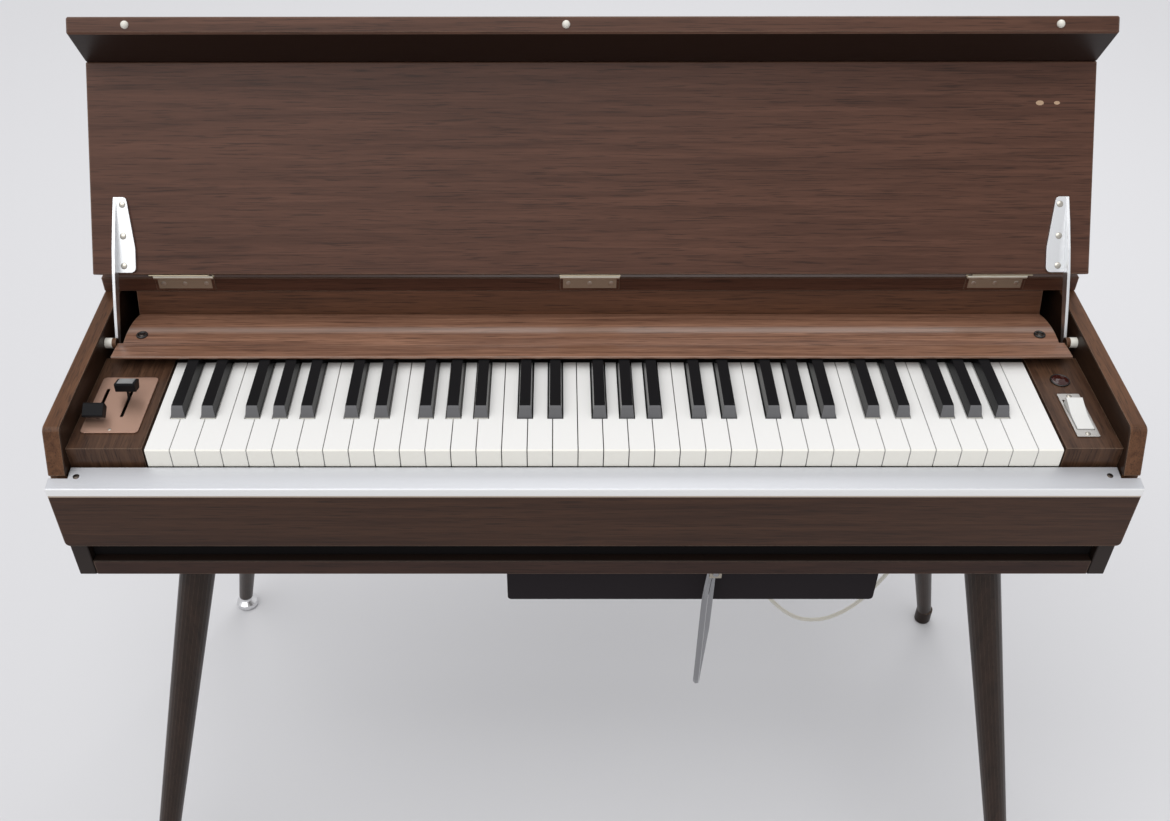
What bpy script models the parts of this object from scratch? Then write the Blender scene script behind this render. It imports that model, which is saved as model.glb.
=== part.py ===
"""Small electronic organ: one manual of 61 keys in a laminate cabinet on four screw-in legs.

Metres, +Z up, the player sits on the -Y side, and the floor is Z = 0. The cabinet is laid out
from the keyboard datum: 'back' counts from the front of the white keys, 'up' from their tops.
"""
import math

import bmesh
import bpy
from mathutils import Matrix, Vector

for leftover in list(bpy.data.objects):
    bpy.data.objects.remove(leftover, do_unlink=True)

# Driving dimensions: the whole and the datum
CABINET_DEPTH = 0.310
KEY_TOP_HEIGHT = 0.665
KEY_FRONT_Y = -0.145
GAP = 0.0003

# Cabinet boards
CHEEK_THICKNESS = 0.0165
CHEEK_TOP_FRONT_UP = 0.0225
CHEEK_TOP_REAR_UP = 0.0287
CHEEK_TOP_FRONT_BACK = 0.0045
CHEEK_NOSE_BACK = -0.0123
CHEEK_NOSE_UP = -0.0200
CHEEK_NOSE_RADIUS = 0.0075
CHEEK_FOOT_BACK = -0.0184
CABINET_BOTTOM_UP = -0.1475
BOTTOM_THICKNESS = 0.0190
BACK_PANEL_THICKNESS = 0.0120
FRONT_PANEL_FRONT_BACK = -0.0258
FRONT_PANEL_THICKNESS = 0.0160
FRONT_PANEL_TOP_UP = -0.0332
FRONT_PANEL_HEIGHT = 0.0672
FRONT_PANEL_CORNER_RADIUS = 0.0050
BAFFLE_THICKNESS = 0.0060
BAFFLE_TOP_UP = -0.0440
EDGE_EASE = 0.0008

# Aluminium key slip
SLIP_REAR_BACK = -0.0015
SLIP_REAR_UP = -0.0200
SLIP_CREST_BACK = -0.0246
SLIP_CREST_UP = -0.0243
SLIP_FRONT_BACK = -0.0264
SLIP_WALL = 0.0020
SLIP_BEAD_RADIUS = 0.0016
SLIP_NOTCH_CLEARANCE = 0.0016

# Keyboard
WHITE_KEY_COUNT = 36
KEY_PITCH = 0.0235
KEY_SPACING = 0.0009
WHITE_KEY_LENGTH = 0.1314
WHITE_KEY_FRONT_DEPTH = 0.0200
WHITE_KEY_REAR_DEPTH = 0.0120
BLACK_KEY_FRONT_BACK = 0.0460
BLACK_KEY_HEIGHT = 0.0115
BLACK_KEY_NOSE_LEAN = 0.0045
BLACK_KEY_BASE_WIDTH = 0.0135
BLACK_KEY_TOP_WIDTH = 0.0104
BLACK_KEY_SLOT_CLEARANCE = 0.0009
KEY_TAIL_DROP = 0.0050
KEY_TAIL_THICKNESS = 0.0090
KEY_TAIL_WIDTH = 0.0100
KEY_PIVOT_BACK = 0.2000
KEY_TAIL_OVERHANG = 0.0050
KEY_DIP = 0.0095
PIVOT_BLADE_THICKNESS = 0.0020
PIVOT_NOTCH_DEPTH = 0.0022
PIVOT_NOTCH_CLEARANCE = 0.0004
KEY_FRAME_THICKNESS = 0.0020
KEY_FRAME_UP = -0.0370
KEY_FRAME_FRONT_FLANGE = 0.0120
FIRST_MOVING_OCTAVE = 2
LAST_MOVING_OCTAVE = 3

# Key blocks at the two ends of the keyboard
LEFT_BLOCK_WIDTH = 0.0705
RIGHT_BLOCK_WIDTH = 0.0525
BLOCK_TO_KEY_GAP = 0.0025
BLOCK_FRONT_BACK = 0.0022
BLOCK_REAR_BACK = 0.1384
CONTROL_PLATE_LENGTH = 0.0825
CONTROL_PLATE_WIDTH = 0.0540
CONTROL_PLATE_CENTRE_BACK = 0.0645
CONTROL_PLATE_FROM_CHEEK = 0.0345
CONTROL_PLATE_THICKNESS = 0.0012
CONTROL_PLATE_CORNER_RADIUS = 0.0035
CONTROL_WELL_MARGIN = 0.0040
LEVER_SLOT_WIDTH = 0.0032
LEVER_SLOT_LENGTH = 0.0430
LEVER_SLOT_CENTRE_BACK = 0.0670
LEFT_LEVER_OFFSET = -0.0175
RIGHT_LEVER_OFFSET = 0.0060
LEVER_PIVOT_DEPTH = 0.0240
LEVER_HUB_RADIUS = 0.0045
LEVER_SHAFT_RADIUS = 0.0020
LEVER_STEM_THICKNESS = 0.0014
LEVER_STEM_WIDTH = 0.0030
LEVER_KNOB_RADIUS_AT = 0.0400
LEVER_KNOB_LENGTH = 0.0150
LEVER_KNOB_WIDTH = 0.0195
LEVER_KNOB_HEIGHT = 0.0090
LEFT_LEVER_LEAN = math.radians(-33.0)
RIGHT_LEVER_LEAN = math.radians(14.0)
SWITCH_PLATE_LENGTH = 0.0625
SWITCH_PLATE_WIDTH = 0.0215
SWITCH_PLATE_THICKNESS = 0.0010
SWITCH_CENTRE_BACK = 0.0488
SWITCH_FROM_CHEEK = 0.0270
ROCKER_LENGTH = 0.0430
ROCKER_WIDTH = 0.0155
ROCKER_CLEARANCE = 0.0006
ROCKER_BODY_DEPTH = 0.0120
ROCKER_LEAN = math.radians(9.0)
PILOT_RADIUS = 0.0082
PILOT_CENTRE_BACK = 0.1015
PILOT_FROM_CHEEK = 0.0275
PILOT_RISE = 0.0022
PILOT_BODY_DEPTH = 0.0220

# Nameboard rail and the boards behind it
RAIL_FRONT_BACK = 0.1415
RAIL_REAR_BACK = 0.2060
RAIL_FRONT_UP = 0.0122
RAIL_CREST_BACK = 0.1710
RAIL_CREST_UP = 0.0142
RAIL_REAR_UP = 0.0060
RAIL_BOTTOM_UP = -0.0030
RAIL_STRIP_DEPTH = 0.0048
RAIL_STRIP_END_FROM_CHEEK = 0.0120
STAY_SLOT_WIDTH = 0.0177
RISER_THICKNESS = 0.0120
RISER_LEAN_BACK = 0.0102
RISER_INSET = 0.0160
TOP_BOARD_THICKNESS = 0.0168
TOP_BOARD_OVERHANG = 0.0040

# Lid, seen closed: its axis is just above its top face
LID_AXIS_BACK = 0.2135
LID_THICKNESS = TOP_BOARD_THICKNESS
LID_INNER_LENGTH = 0.2120
LID_OPEN_ANGLE = math.radians(124.8)
LIP_ANGLE = math.radians(20.5)
LIP_INNER_LENGTH = 0.0508
LIP_EDGE_DEPTH = 0.0165
BUMPER_RADIUS = 0.0036
BUMPER_HEIGHT = 0.0032
BUMPER_END_INSET = 0.0565
MIDDLE_BUMPER_OFFSET = -0.0250

# Three butt hinges
HINGE_END_INSET = 0.0860
HINGE_LENGTH = 0.0610
HINGE_LEAF_HEIGHT = 0.0140
HINGE_LEAF_THICKNESS = 0.0011
HINGE_LEAF_GAP = 0.0006
HINGE_KNUCKLE_RADIUS = 0.0024
HINGE_PIN_RADIUS = 0.0011
HINGE_KNUCKLE_COUNT = 5

# Lid stays and the pins they stop against
STAY_FROM_CHEEK = 0.0075
STAY_THICKNESS = 0.0028
STAY_FLANGE_WIDTH = 0.0180
STAY_TOP_ALONG = 0.0790
STAY_END_ALONG = -0.0760
STAY_BOARD_CLEARANCE = 0.0018
STAY_ARM_DEPTH_AT_50 = 0.0104
STAY_ARM_DEPTH_AT_END = 0.0090
STOP_PIN_ALONG = -0.0670
STOP_PIN_RADIUS = 0.0052

# Legs: the places where they screw into the bottom, and where their feet stand
LEG_TOP_RADIUS = 0.0182
LEG_TIP_RADIUS = 0.0098
LEG_PLATE_SIZE = 0.0640
LEG_PLATE_THICKNESS = 0.0030
LEG_BOSS_HEIGHT = 0.0100
LEG_STUD_RADIUS = 0.0080
LEG_STUD_START = 0.0036
GLIDE_RADIUS = 0.0160
GLIDE_HEIGHT = 0.0190
FRONT_LEG_FROM_CHEEK = 0.0930
FRONT_LEG_BACK = 0.0220
REAR_LEG_FROM_CHEEK = 0.1040
REAR_LEG_FROM_REAR = 0.0570
LEG_SPLAY = {
    "leg_front_left": (0.1135, -0.1260),
    "leg_front_right": (0.1000, -0.1260),
    "leg_rear_left": (0.1190, 0.1410),
    "leg_rear_right": (0.1291, 0.1110),
}

# Knee lever under the front edge
KNEE_LEVER_X = 0.1240
KNEE_LEVER_BACK = 0.0120
KNEE_PIVOT_DROP = 0.0090
KNEE_ROD_RADIUS = 0.0033
KNEE_LEVER_DROP = 0.1860
KNEE_LOOP_WIDTH = 0.0340
KNEE_LOOP_TWIST = math.radians(12.0)
KNEE_SHAFT_RADIUS = 0.0030
KNEE_BRACKET_WALL = 0.0025
KNEE_BRACKET_WIDTH = 0.0200
KNEE_STOP_RADIUS = 0.0022
KNEE_STOP_OFFSET = 0.0092
KNEE_STOP_LENGTH = 0.0190

# Unit slung under the cabinet, and the cord between the two
UNDER_BOX_LEFT = -0.0865
UNDER_BOX_WIDTH = 0.3900
UNDER_BOX_FRONT_BACK = 0.0360
UNDER_BOX_DEPTH = 0.1800
UNDER_BOX_HEIGHT = 0.0985
UNDER_BOX_CORNER_RADIUS = 0.0040
UNDER_BOX_FOOT_RADIUS = 0.0075
UNDER_BOX_FOOT_HEIGHT = 0.0035
CORD_RADIUS = 0.0026
GLAND_RADIUS = 0.0065
GLAND_LENGTH = 0.0090
CORD_KNOTS = [
    (0.1700, 0.2253, -0.1900), (0.1700, 0.2310, -0.1900), (0.1701, 0.2370, -0.1902), (0.1712, 0.2480, -0.1945),
    (0.1745, 0.2545, -0.2110),
    (0.1790, 0.2550, -0.2400), (0.1850, 0.2490, -0.2820), (0.1950, 0.2480, -0.3430), (0.2100, 0.2470, -0.4000),
    (0.2340, 0.2460, -0.4610), (0.2600, 0.2450, -0.4980), (0.2850, 0.2440, -0.5190), (0.3070, 0.2430, -0.5245),
    (0.3320, 0.2420, -0.5180), (0.3600, 0.2410, -0.4930), (0.3830, 0.2400, -0.4520), (0.4040, 0.2390, -0.4000),
    (0.4200, 0.2385, -0.3430), (0.4320, 0.2380, -0.2870), (0.4410, 0.2380, -0.2300), (0.4475, 0.2380, -0.1850),
    (0.4480, 0.2380, -0.1690),    (0.4480, 0.2380, -0.1568),
]

# Pieces inside the cabinet
SPEAKER_WIDTH = 0.1500
SPEAKER_HEIGHT = 0.0700
SPEAKER_X = -0.2600
SPEAKER_DEPTH = 0.0420
CHASSIS_X = 0.2100
CHASSIS_WIDTH = 0.3400
CHASSIS_DEPTH = 0.1500
CHASSIS_BACK = 0.1100
CHASSIS_WALL = 0.0015
CHASSIS_HEIGHT = 0.0250
TRANSFORMER_SIZE = 0.0550
TRANSFORMER_HEIGHT = 0.0500
TRANSFORMER_FROM_RIGHT = 0.0250
TRANSFORMER_FROM_FRONT = 0.0300
CIRCUIT_BOARD_MARGIN = 0.0100
CIRCUIT_BOARD_LIFT = 0.0120
CIRCUIT_BOARD_THICKNESS = 0.0016

# Values that follow from the driving dimensions
KEYS_WIDTH = WHITE_KEY_COUNT * KEY_PITCH
INNER_HALF = (LEFT_BLOCK_WIDTH + RIGHT_BLOCK_WIDTH + KEYS_WIDTH + 2 * BLOCK_TO_KEY_GAP) / 2
OVERALL_WIDTH = 2 * (INNER_HALF + CHEEK_THICKNESS)
HINGE_POSITIONS = (HINGE_END_INSET - OVERALL_WIDTH / 2, 0.0, OVERALL_WIDTH / 2 - HINGE_END_INSET)
BUMPER_POSITIONS = (BUMPER_END_INSET - OVERALL_WIDTH / 2, MIDDLE_BUMPER_OFFSET, OVERALL_WIDTH / 2 - BUMPER_END_INSET)
CABINET_BOTTOM_Z = KEY_TOP_HEIGHT + CABINET_BOTTOM_UP
BOARD_TOP_UP = CHEEK_TOP_REAR_UP + GAP + TOP_BOARD_THICKNESS
LEAF_BACK = HINGE_LEAF_GAP / 2 + HINGE_LEAF_THICKNESS
LID_AXIS_RISE = math.sqrt((HINGE_KNUCKLE_RADIUS + GAP) ** 2 - LEAF_BACK ** 2)
LID_AXIS_UP = BOARD_TOP_UP + LID_AXIS_RISE
KEYS_LEFT = -INNER_HALF + LEFT_BLOCK_WIDTH + BLOCK_TO_KEY_GAP
KEYS_RIGHT = KEYS_LEFT + KEYS_WIDTH
RIGHT_BLOCK_LEFT = KEYS_RIGHT + BLOCK_TO_KEY_GAP
FRAME_TOP_UP = KEY_FRAME_UP + KEY_FRAME_THICKNESS
KEY_TAIL_BOTTOM_UP = -KEY_TAIL_DROP - KEY_TAIL_THICKNESS
PIVOT_UP = KEY_TAIL_BOTTOM_UP + PIVOT_NOTCH_DEPTH - GAP
INNER_BOTTOM_UP = CABINET_BOTTOM_UP + BOTTOM_THICKNESS


def material(name, colour, roughness, metallic=0.0):
    """A Principled material with the part's plain colour."""
    made = bpy.data.materials.new(name)
    made.use_nodes = True
    shader = made.node_tree.nodes["Principled BSDF"]
    shader.inputs["Base Color"].default_value = (*colour, 1.0)
    shader.inputs["Roughness"].default_value = roughness
    shader.inputs["Metallic"].default_value = metallic
    made.diffuse_color = (*colour, 1.0)
    return made


WALNUT = material("walnut_laminate", (0.085, 0.038, 0.022), 0.42)
DARK_WOOD = material("dark_wood", (0.045, 0.024, 0.016), 0.50)
BLACK_CLOTH = material("black_cloth", (0.012, 0.011, 0.011), 0.95)
ALUMINIUM = material("aluminium", (0.66, 0.68, 0.71), 0.32, 1.0)
STEEL = material("steel", (0.52, 0.50, 0.47), 0.38, 1.0)
CHROME = material("chrome", (0.80, 0.80, 0.80), 0.08, 1.0)
COPPER = material("copper_plate", (0.50, 0.28, 0.19), 0.35, 1.0)
IVORY = material("ivory_plastic", (0.86, 0.86, 0.83), 0.25)
BLACK_PLASTIC = material("black_plastic", (0.015, 0.015, 0.016), 0.22)
WHITE_PLASTIC = material("white_plastic", (0.82, 0.80, 0.74), 0.30)
LAMP_RED = material("lamp_red", (0.10, 0.010, 0.008), 0.15)
BLACK_COATING = material("black_coating", (0.020, 0.018, 0.018), 0.55)
CREAM_CABLE = material("cream_cable", (0.72, 0.68, 0.58), 0.45)


def yz(back, up):
    """World Y and Z of a place given from the front and the top of the white keys."""
    return (KEY_FRONT_Y + back, KEY_TOP_HEIGHT + up)


def add_object(name, bm, surface, smooth=False):
    """A scene object from a bmesh, with its faces pointing out."""
    bmesh.ops.recalc_face_normals(bm, faces=bm.faces)
    mesh = bpy.data.meshes.new(name)
    bm.to_mesh(mesh)
    bm.free()
    mesh.materials.append(surface)
    if smooth:
        mesh.shade_smooth()
        mesh.set_sharp_from_angle(angle=math.radians(35))
    made = bpy.data.objects.new(name, mesh)
    bpy.context.collection.objects.link(made)
    return made


def prism(name, outline, axis, start, end, surface, smooth=False):
    """An outline drawn across one axis and extruded along it; 'X' takes (y, z), 'Y' (x, z), 'Z' (x, y)."""
    def point(pair, along):
        if axis == "X":
            return (along, pair[0], pair[1])
        if axis == "Y":
            return (pair[0], along, pair[1])
        return (pair[0], pair[1], along)

    bm = bmesh.new()
    face = bm.faces.new([bm.verts.new(point(pair, start)) for pair in outline])
    grown = bmesh.ops.extrude_face_region(bm, geom=[face])
    new_verts = [item for item in grown["geom"] if isinstance(item, bmesh.types.BMVert)]
    bmesh.ops.translate(bm, verts=new_verts, vec=Vector(point((0.0, 0.0), end - start)))
    return add_object(name, bm, surface, smooth)


def block(name, x_range, y_range, z_range, surface):
    """A plain rectangular block."""
    corners = [(x_range[0], y_range[0]), (x_range[1], y_range[0]),
               (x_range[1], y_range[1]), (x_range[0], y_range[1])]
    return prism(name, corners, "Z", z_range[0], z_range[1], surface)


def rounded(corners, steps=4):
    """An outline from (a, b) or (a, b, radius) corners, with an arc at each corner that has a radius."""
    outline = []
    for index, corner in enumerate(corners):
        here = Vector(corner[:2])
        if len(corner) < 3 or corner[2] <= 0:
            outline.append(tuple(here))
            continue
        radius = corner[2]
        before = (Vector(corners[index - 1][:2]) - here).normalized()
        after = (Vector(corners[(index + 1) % len(corners)][:2]) - here).normalized()
        half = before.angle(after) / 2
        setback = radius / math.tan(half)
        centre = here + (before + after).normalized() * (radius / math.sin(half))
        start = here + before * setback - centre
        end = here + after * setback - centre
        for step in range(steps + 1):
            share = step / steps
            turn = start.angle_signed(end)
            spoke = start.copy()
            spoke.rotate(Matrix.Rotation(-turn * share, 2))
            outline.append(tuple(centre + spoke))
    return outline


def turned(name, profile, surface, steps=24):
    """A (radius, height) profile, from the axis round to the axis, turned about Z."""
    bm = bmesh.new()
    verts = [bm.verts.new((radius, 0.0, height)) for radius, height in profile]
    edges = [bm.edges.new(pair) for pair in zip(verts, verts[1:])]
    bmesh.ops.spin(bm, geom=verts + edges, axis=(0, 0, 1), cent=(0, 0, 0),
                   steps=steps, angle=math.tau, use_duplicate=False)
    bmesh.ops.remove_doubles(bm, verts=bm.verts, dist=1e-5)
    return add_object(name, bm, surface, smooth=True)


def tube(name, points, radius, surface, resolution=2):
    """A round rod or cord along a list of points."""
    curve = bpy.data.curves.new(name, "CURVE")
    curve.dimensions = "3D"
    curve.bevel_depth = radius
    curve.bevel_resolution = resolution
    curve.use_fill_caps = True
    spline = curve.splines.new("POLY")
    spline.points.add(len(points) - 1)
    for target, place in zip(spline.points, points):
        target.co = (*place, 1.0)
    curve.materials.append(surface)
    made = bpy.data.objects.new(name, curve)
    bpy.context.collection.objects.link(made)
    return made


def rod_tool(name, points, radius, surface, resolution=2):
    """The same rod as a mesh, which a Boolean can join to another piece."""
    drawn = tube(name + "_path", points, radius, surface, resolution)
    mesh = bpy.data.meshes.new_from_object(drawn)
    bpy.data.objects.remove(drawn, do_unlink=True)
    made = bpy.data.objects.new(name, mesh)
    bpy.context.collection.objects.link(made)
    return made


def as_cutter(made):
    """Marks an object as a tool for a Boolean, which isn't part of the organ."""
    made.hide_render = True
    made.display_type = "WIRE"
    return made


def combine(target, other, operation, solver="EXACT"):
    """Cuts, joins or intersects a target with a hidden tool."""
    as_cutter(other)
    modifier = target.modifiers.new(operation.lower(), "BOOLEAN")
    modifier.operation = operation
    modifier.solver = solver
    modifier.object = other
    return target


def ease(target, width=EDGE_EASE, segments=1):
    """Breaks the sharp edges of a board or casting."""
    modifier = target.modifiers.new("eased_edges", "BEVEL")
    modifier.width = width
    modifier.segments = segments
    modifier.limit_method = "ANGLE"
    modifier.angle_limit = math.radians(30)
    return target


def smooth_curve(knots, spacing):
    """Evenly spaced points along a Catmull-Rom curve through hand-chosen knots."""
    ends = [knots[0] * 2 - knots[1]] + knots + [knots[-1] * 2 - knots[-2]]
    dense = []
    for a, b, c, d in zip(ends, ends[1:], ends[2:], ends[3:]):
        for step in range(24):
            t = step / 24
            dense.append(0.5 * (2 * b + (c - a) * t + (2 * a - 5 * b + 4 * c - d) * t ** 2
                                + (3 * b - a - 3 * c + d) * t ** 3))
    dense.append(knots[-1])
    lengths = [0.0]
    for a, b in zip(dense, dense[1:]):
        lengths.append(lengths[-1] + (b - a).length)
    count = max(2, round(lengths[-1] / spacing))
    points = []
    index = 0
    for step in range(count + 1):
        wanted = lengths[-1] * step / count
        while index < len(dense) - 2 and lengths[index + 1] < wanted:
            index += 1
        share = (wanted - lengths[index]) / (lengths[index + 1] - lengths[index])
        points.append(dense[index].lerp(dense[index + 1], min(share, 1.0)))
    return points


def stop_pin_place():
    """Where a stop pin's axis lies so that the open lid's stay rests on the pin, one gap from it."""
    slope = (STAY_ARM_DEPTH_AT_50 - STAY_ARM_DEPTH_AT_END) / (-0.050 - (STAY_END_ALONG + 0.006))
    arm_depth = STAY_ARM_DEPTH_AT_50 + slope * (STOP_PIN_ALONG + 0.050)
    reach = (STOP_PIN_RADIUS + GAP) * math.hypot(1.0, slope)
    closed = Vector((-STOP_PIN_ALONG, -LID_AXIS_RISE - LID_THICKNESS - arm_depth - reach))
    turn = -LID_OPEN_ANGLE
    opened = (closed.x * math.cos(turn) - closed.y * math.sin(turn),
              closed.x * math.sin(turn) + closed.y * math.cos(turn))
    return yz(LID_AXIS_BACK + opened[0], LID_AXIS_UP + opened[1])


def build_cheeks():
    """Two end boards with a raked, round-nosed front, each with the pin that stops a lid stay."""
    nose_slope = (CHEEK_TOP_FRONT_BACK - CHEEK_NOSE_BACK) / (CHEEK_TOP_FRONT_UP - CHEEK_NOSE_UP)
    panel_back = FRONT_PANEL_FRONT_BACK + FRONT_PANEL_THICKNESS + GAP
    panel_bottom_up = FRONT_PANEL_TOP_UP - FRONT_PANEL_HEIGHT - GAP
    ledge_up = SLIP_REAR_UP - 0.0010
    ledge_back = CHEEK_NOSE_BACK - nose_slope * (CHEEK_NOSE_UP - ledge_up)
    corners = [
        (*yz(CHEEK_TOP_FRONT_BACK, CHEEK_TOP_FRONT_UP), CHEEK_NOSE_RADIUS),
        (*yz(LID_AXIS_BACK, CHEEK_TOP_REAR_UP), 0.0),
        (*yz(CABINET_DEPTH, CHEEK_TOP_REAR_UP), 0.0),
        (*yz(CABINET_DEPTH, CABINET_BOTTOM_UP), 0.0),
        (*yz(CHEEK_FOOT_BACK, CABINET_BOTTOM_UP), 0.0),
        (*yz(CHEEK_FOOT_BACK, panel_bottom_up), 0.0),
        (*yz(panel_back, panel_bottom_up), 0.0),
        (*yz(panel_back, ledge_up), 0.0),
        (*yz(ledge_back, ledge_up), 0.0),
    ]
    for name, side in (("left_cheek", -1), ("right_cheek", 1)):
        inner = side * INNER_HALF
        cheek = prism(name, rounded(corners), "X", inner, inner + side * CHEEK_THICKNESS, WALNUT)
        ease(cheek)
        pin_reach = STAY_FROM_CHEEK + STAY_THICKNESS + 0.0010
        pin = turned(name + "_pin", [(0.0, 0.0), (STOP_PIN_RADIUS, 0.0),
                                     (STOP_PIN_RADIUS, pin_reach + 0.004), (0.0, pin_reach + 0.004)], IVORY, 16)
        pin.matrix_world = (Matrix.Translation((inner - side * pin_reach, *stop_pin_place()))
                            @ Matrix.Rotation(side * math.pi / 2, 4, "Y"))
        combine(cheek, pin, "UNION")


def build_bottom_and_back():
    """The bottom board with its two cord and lever fixings, and the back panel on it."""
    bottom = block("bottom_board", (-INNER_HALF + GAP, INNER_HALF - GAP),
                   (yz(CHEEK_FOOT_BACK, 0)[0], yz(CABINET_DEPTH, 0)[0]),
                   (CABINET_BOTTOM_Z, CABINET_BOTTOM_Z + BOTTOM_THICKNESS), DARK_WOOD)
    ease(bottom)
    add_gland(bottom, Vector((CORD_KNOTS[-1][0], yz(CORD_KNOTS[-1][1], 0)[0], CABINET_BOTTOM_Z + 0.001)),
              Vector((0, 0, -1)))
    block("back_panel", (-INNER_HALF + GAP, INNER_HALF - GAP),
          (yz(CABINET_DEPTH - BACK_PANEL_THICKNESS, 0)[0], yz(CABINET_DEPTH, 0)[0]),
          (CABINET_BOTTOM_Z + BOTTOM_THICKNESS + GAP, KEY_TOP_HEIGHT + CHEEK_TOP_REAR_UP), DARK_WOOD)


def build_front():
    """Front panel, the cloth-covered baffle behind it and the aluminium key slip on top."""
    top = KEY_TOP_HEIGHT + FRONT_PANEL_TOP_UP
    half = OVERALL_WIDTH / 2
    outline = rounded([(-half, top), (half, top),
                       (half, top - FRONT_PANEL_HEIGHT, FRONT_PANEL_CORNER_RADIUS),
                       (-half, top - FRONT_PANEL_HEIGHT, FRONT_PANEL_CORNER_RADIUS)])
    front = yz(FRONT_PANEL_FRONT_BACK, 0)[0]
    panel = prism("front_panel", outline, "Y", front, front + FRONT_PANEL_THICKNESS, WALNUT)
    ease(panel)

    baffle_front = front + FRONT_PANEL_THICKNESS + GAP
    block("speaker_grille", (-INNER_HALF + GAP, INNER_HALF - GAP),
          (baffle_front, baffle_front + BAFFLE_THICKNESS),
          (KEY_TOP_HEIGHT + INNER_BOTTOM_UP + GAP, KEY_TOP_HEIGHT + BAFFLE_TOP_UP), BLACK_CLOTH)

    foot_up = FRONT_PANEL_TOP_UP + GAP
    corners = [
        (*yz(SLIP_REAR_BACK, SLIP_REAR_UP), 0.0),
        (*yz(SLIP_REAR_BACK, SLIP_REAR_UP - SLIP_WALL), 0.0),
        (*yz(SLIP_FRONT_BACK + SLIP_WALL, SLIP_CREST_UP - SLIP_WALL - 0.0005), 0.0),
        (*yz(SLIP_FRONT_BACK + SLIP_WALL, foot_up), 0.0),
        (*yz(SLIP_FRONT_BACK, foot_up), 0.0),
        (*yz(SLIP_FRONT_BACK, SLIP_CREST_UP), SLIP_BEAD_RADIUS),
        (*yz(SLIP_CREST_BACK, SLIP_CREST_UP), 0.0),
    ]
    slip = prism("key_slip", rounded(corners), "X", -half + GAP, half - GAP, ALUMINIUM)
    for side in (-1, 1):
        notch = block("slip_notch", sorted((side * (INNER_HALF - SLIP_NOTCH_CLEARANCE), side * (half + 0.01))),
                      (yz(CHEEK_NOSE_BACK - SLIP_NOTCH_CLEARANCE, 0)[0], yz(0.02, 0)[0]),
                      (KEY_TOP_HEIGHT + SLIP_REAR_UP - 0.02, KEY_TOP_HEIGHT + SLIP_REAR_UP + 0.02), STEEL)
        combine(slip, notch, "DIFFERENCE")


def build_top_boards():
    """Nameboard rail with its crowned top, the riser behind it and the board that carries the lid."""
    crown = []
    for step in range(7):
        t = step / 6
        back = (1 - t) ** 2 * RAIL_FRONT_BACK + 2 * t * (1 - t) * RAIL_CREST_BACK + t ** 2 * RAIL_REAR_BACK
        up = (1 - t) ** 2 * RAIL_FRONT_UP + 2 * t * (1 - t) * (2 * RAIL_CREST_UP - RAIL_FRONT_UP / 2
             - RAIL_REAR_UP / 2) + t ** 2 * RAIL_REAR_UP
        crown.append(yz(back, up))
    outline = [yz(RAIL_FRONT_BACK, RAIL_BOTTOM_UP)] + crown + [yz(RAIL_REAR_BACK, RAIL_BOTTOM_UP)]
    strip_half = INNER_HALF - RAIL_STRIP_END_FROM_CHEEK
    rail = prism("nameboard_rail", outline, "X", -strip_half, strip_half, WALNUT)
    for side in (-1, 1):
        slot = block("stay_slot", sorted((side * (INNER_HALF - STAY_SLOT_WIDTH), side * INNER_HALF)),
                     (yz(RAIL_FRONT_BACK + RAIL_STRIP_DEPTH, 0)[0], yz(RAIL_REAR_BACK + 0.01, 0)[0]),
                     (KEY_TOP_HEIGHT + RAIL_BOTTOM_UP - 0.01, KEY_TOP_HEIGHT + RAIL_CREST_UP + 0.01), STEEL)
        combine(rail, slot, "DIFFERENCE")

    riser_front = RAIL_REAR_BACK + GAP
    riser_top_front = riser_front + RISER_LEAN_BACK
    riser = prism("riser_board", [
        yz(riser_front, RAIL_BOTTOM_UP), yz(riser_top_front, CHEEK_TOP_REAR_UP),
        yz(riser_top_front + RISER_THICKNESS, CHEEK_TOP_REAR_UP), yz(riser_front + RISER_THICKNESS, RAIL_BOTTOM_UP),
    ], "X", -INNER_HALF + RISER_INSET, INNER_HALF - RISER_INSET, WALNUT)
    ease(riser, EDGE_EASE / 2)

    half = OVERALL_WIDTH / 2
    board_front = LID_AXIS_BACK + LEAF_BACK
    board = block("rear_top_board", (-half, half),
                  (yz(board_front, 0)[0], yz(CABINET_DEPTH + TOP_BOARD_OVERHANG, 0)[0]),
                  (KEY_TOP_HEIGHT + CHEEK_TOP_REAR_UP + GAP, KEY_TOP_HEIGHT + BOARD_TOP_UP), WALNUT)
    ease(board)
    axis = (yz(LID_AXIS_BACK, 0)[0], KEY_TOP_HEIGHT + LID_AXIS_UP)
    for centre in HINGE_POSITIONS:
        leaf = hinge_leaf("fixed_leaf", centre, 1, STEEL)
        leaf.location = (0.0, *axis)
        combine(board, leaf, "UNION", "MANIFOLD")


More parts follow.
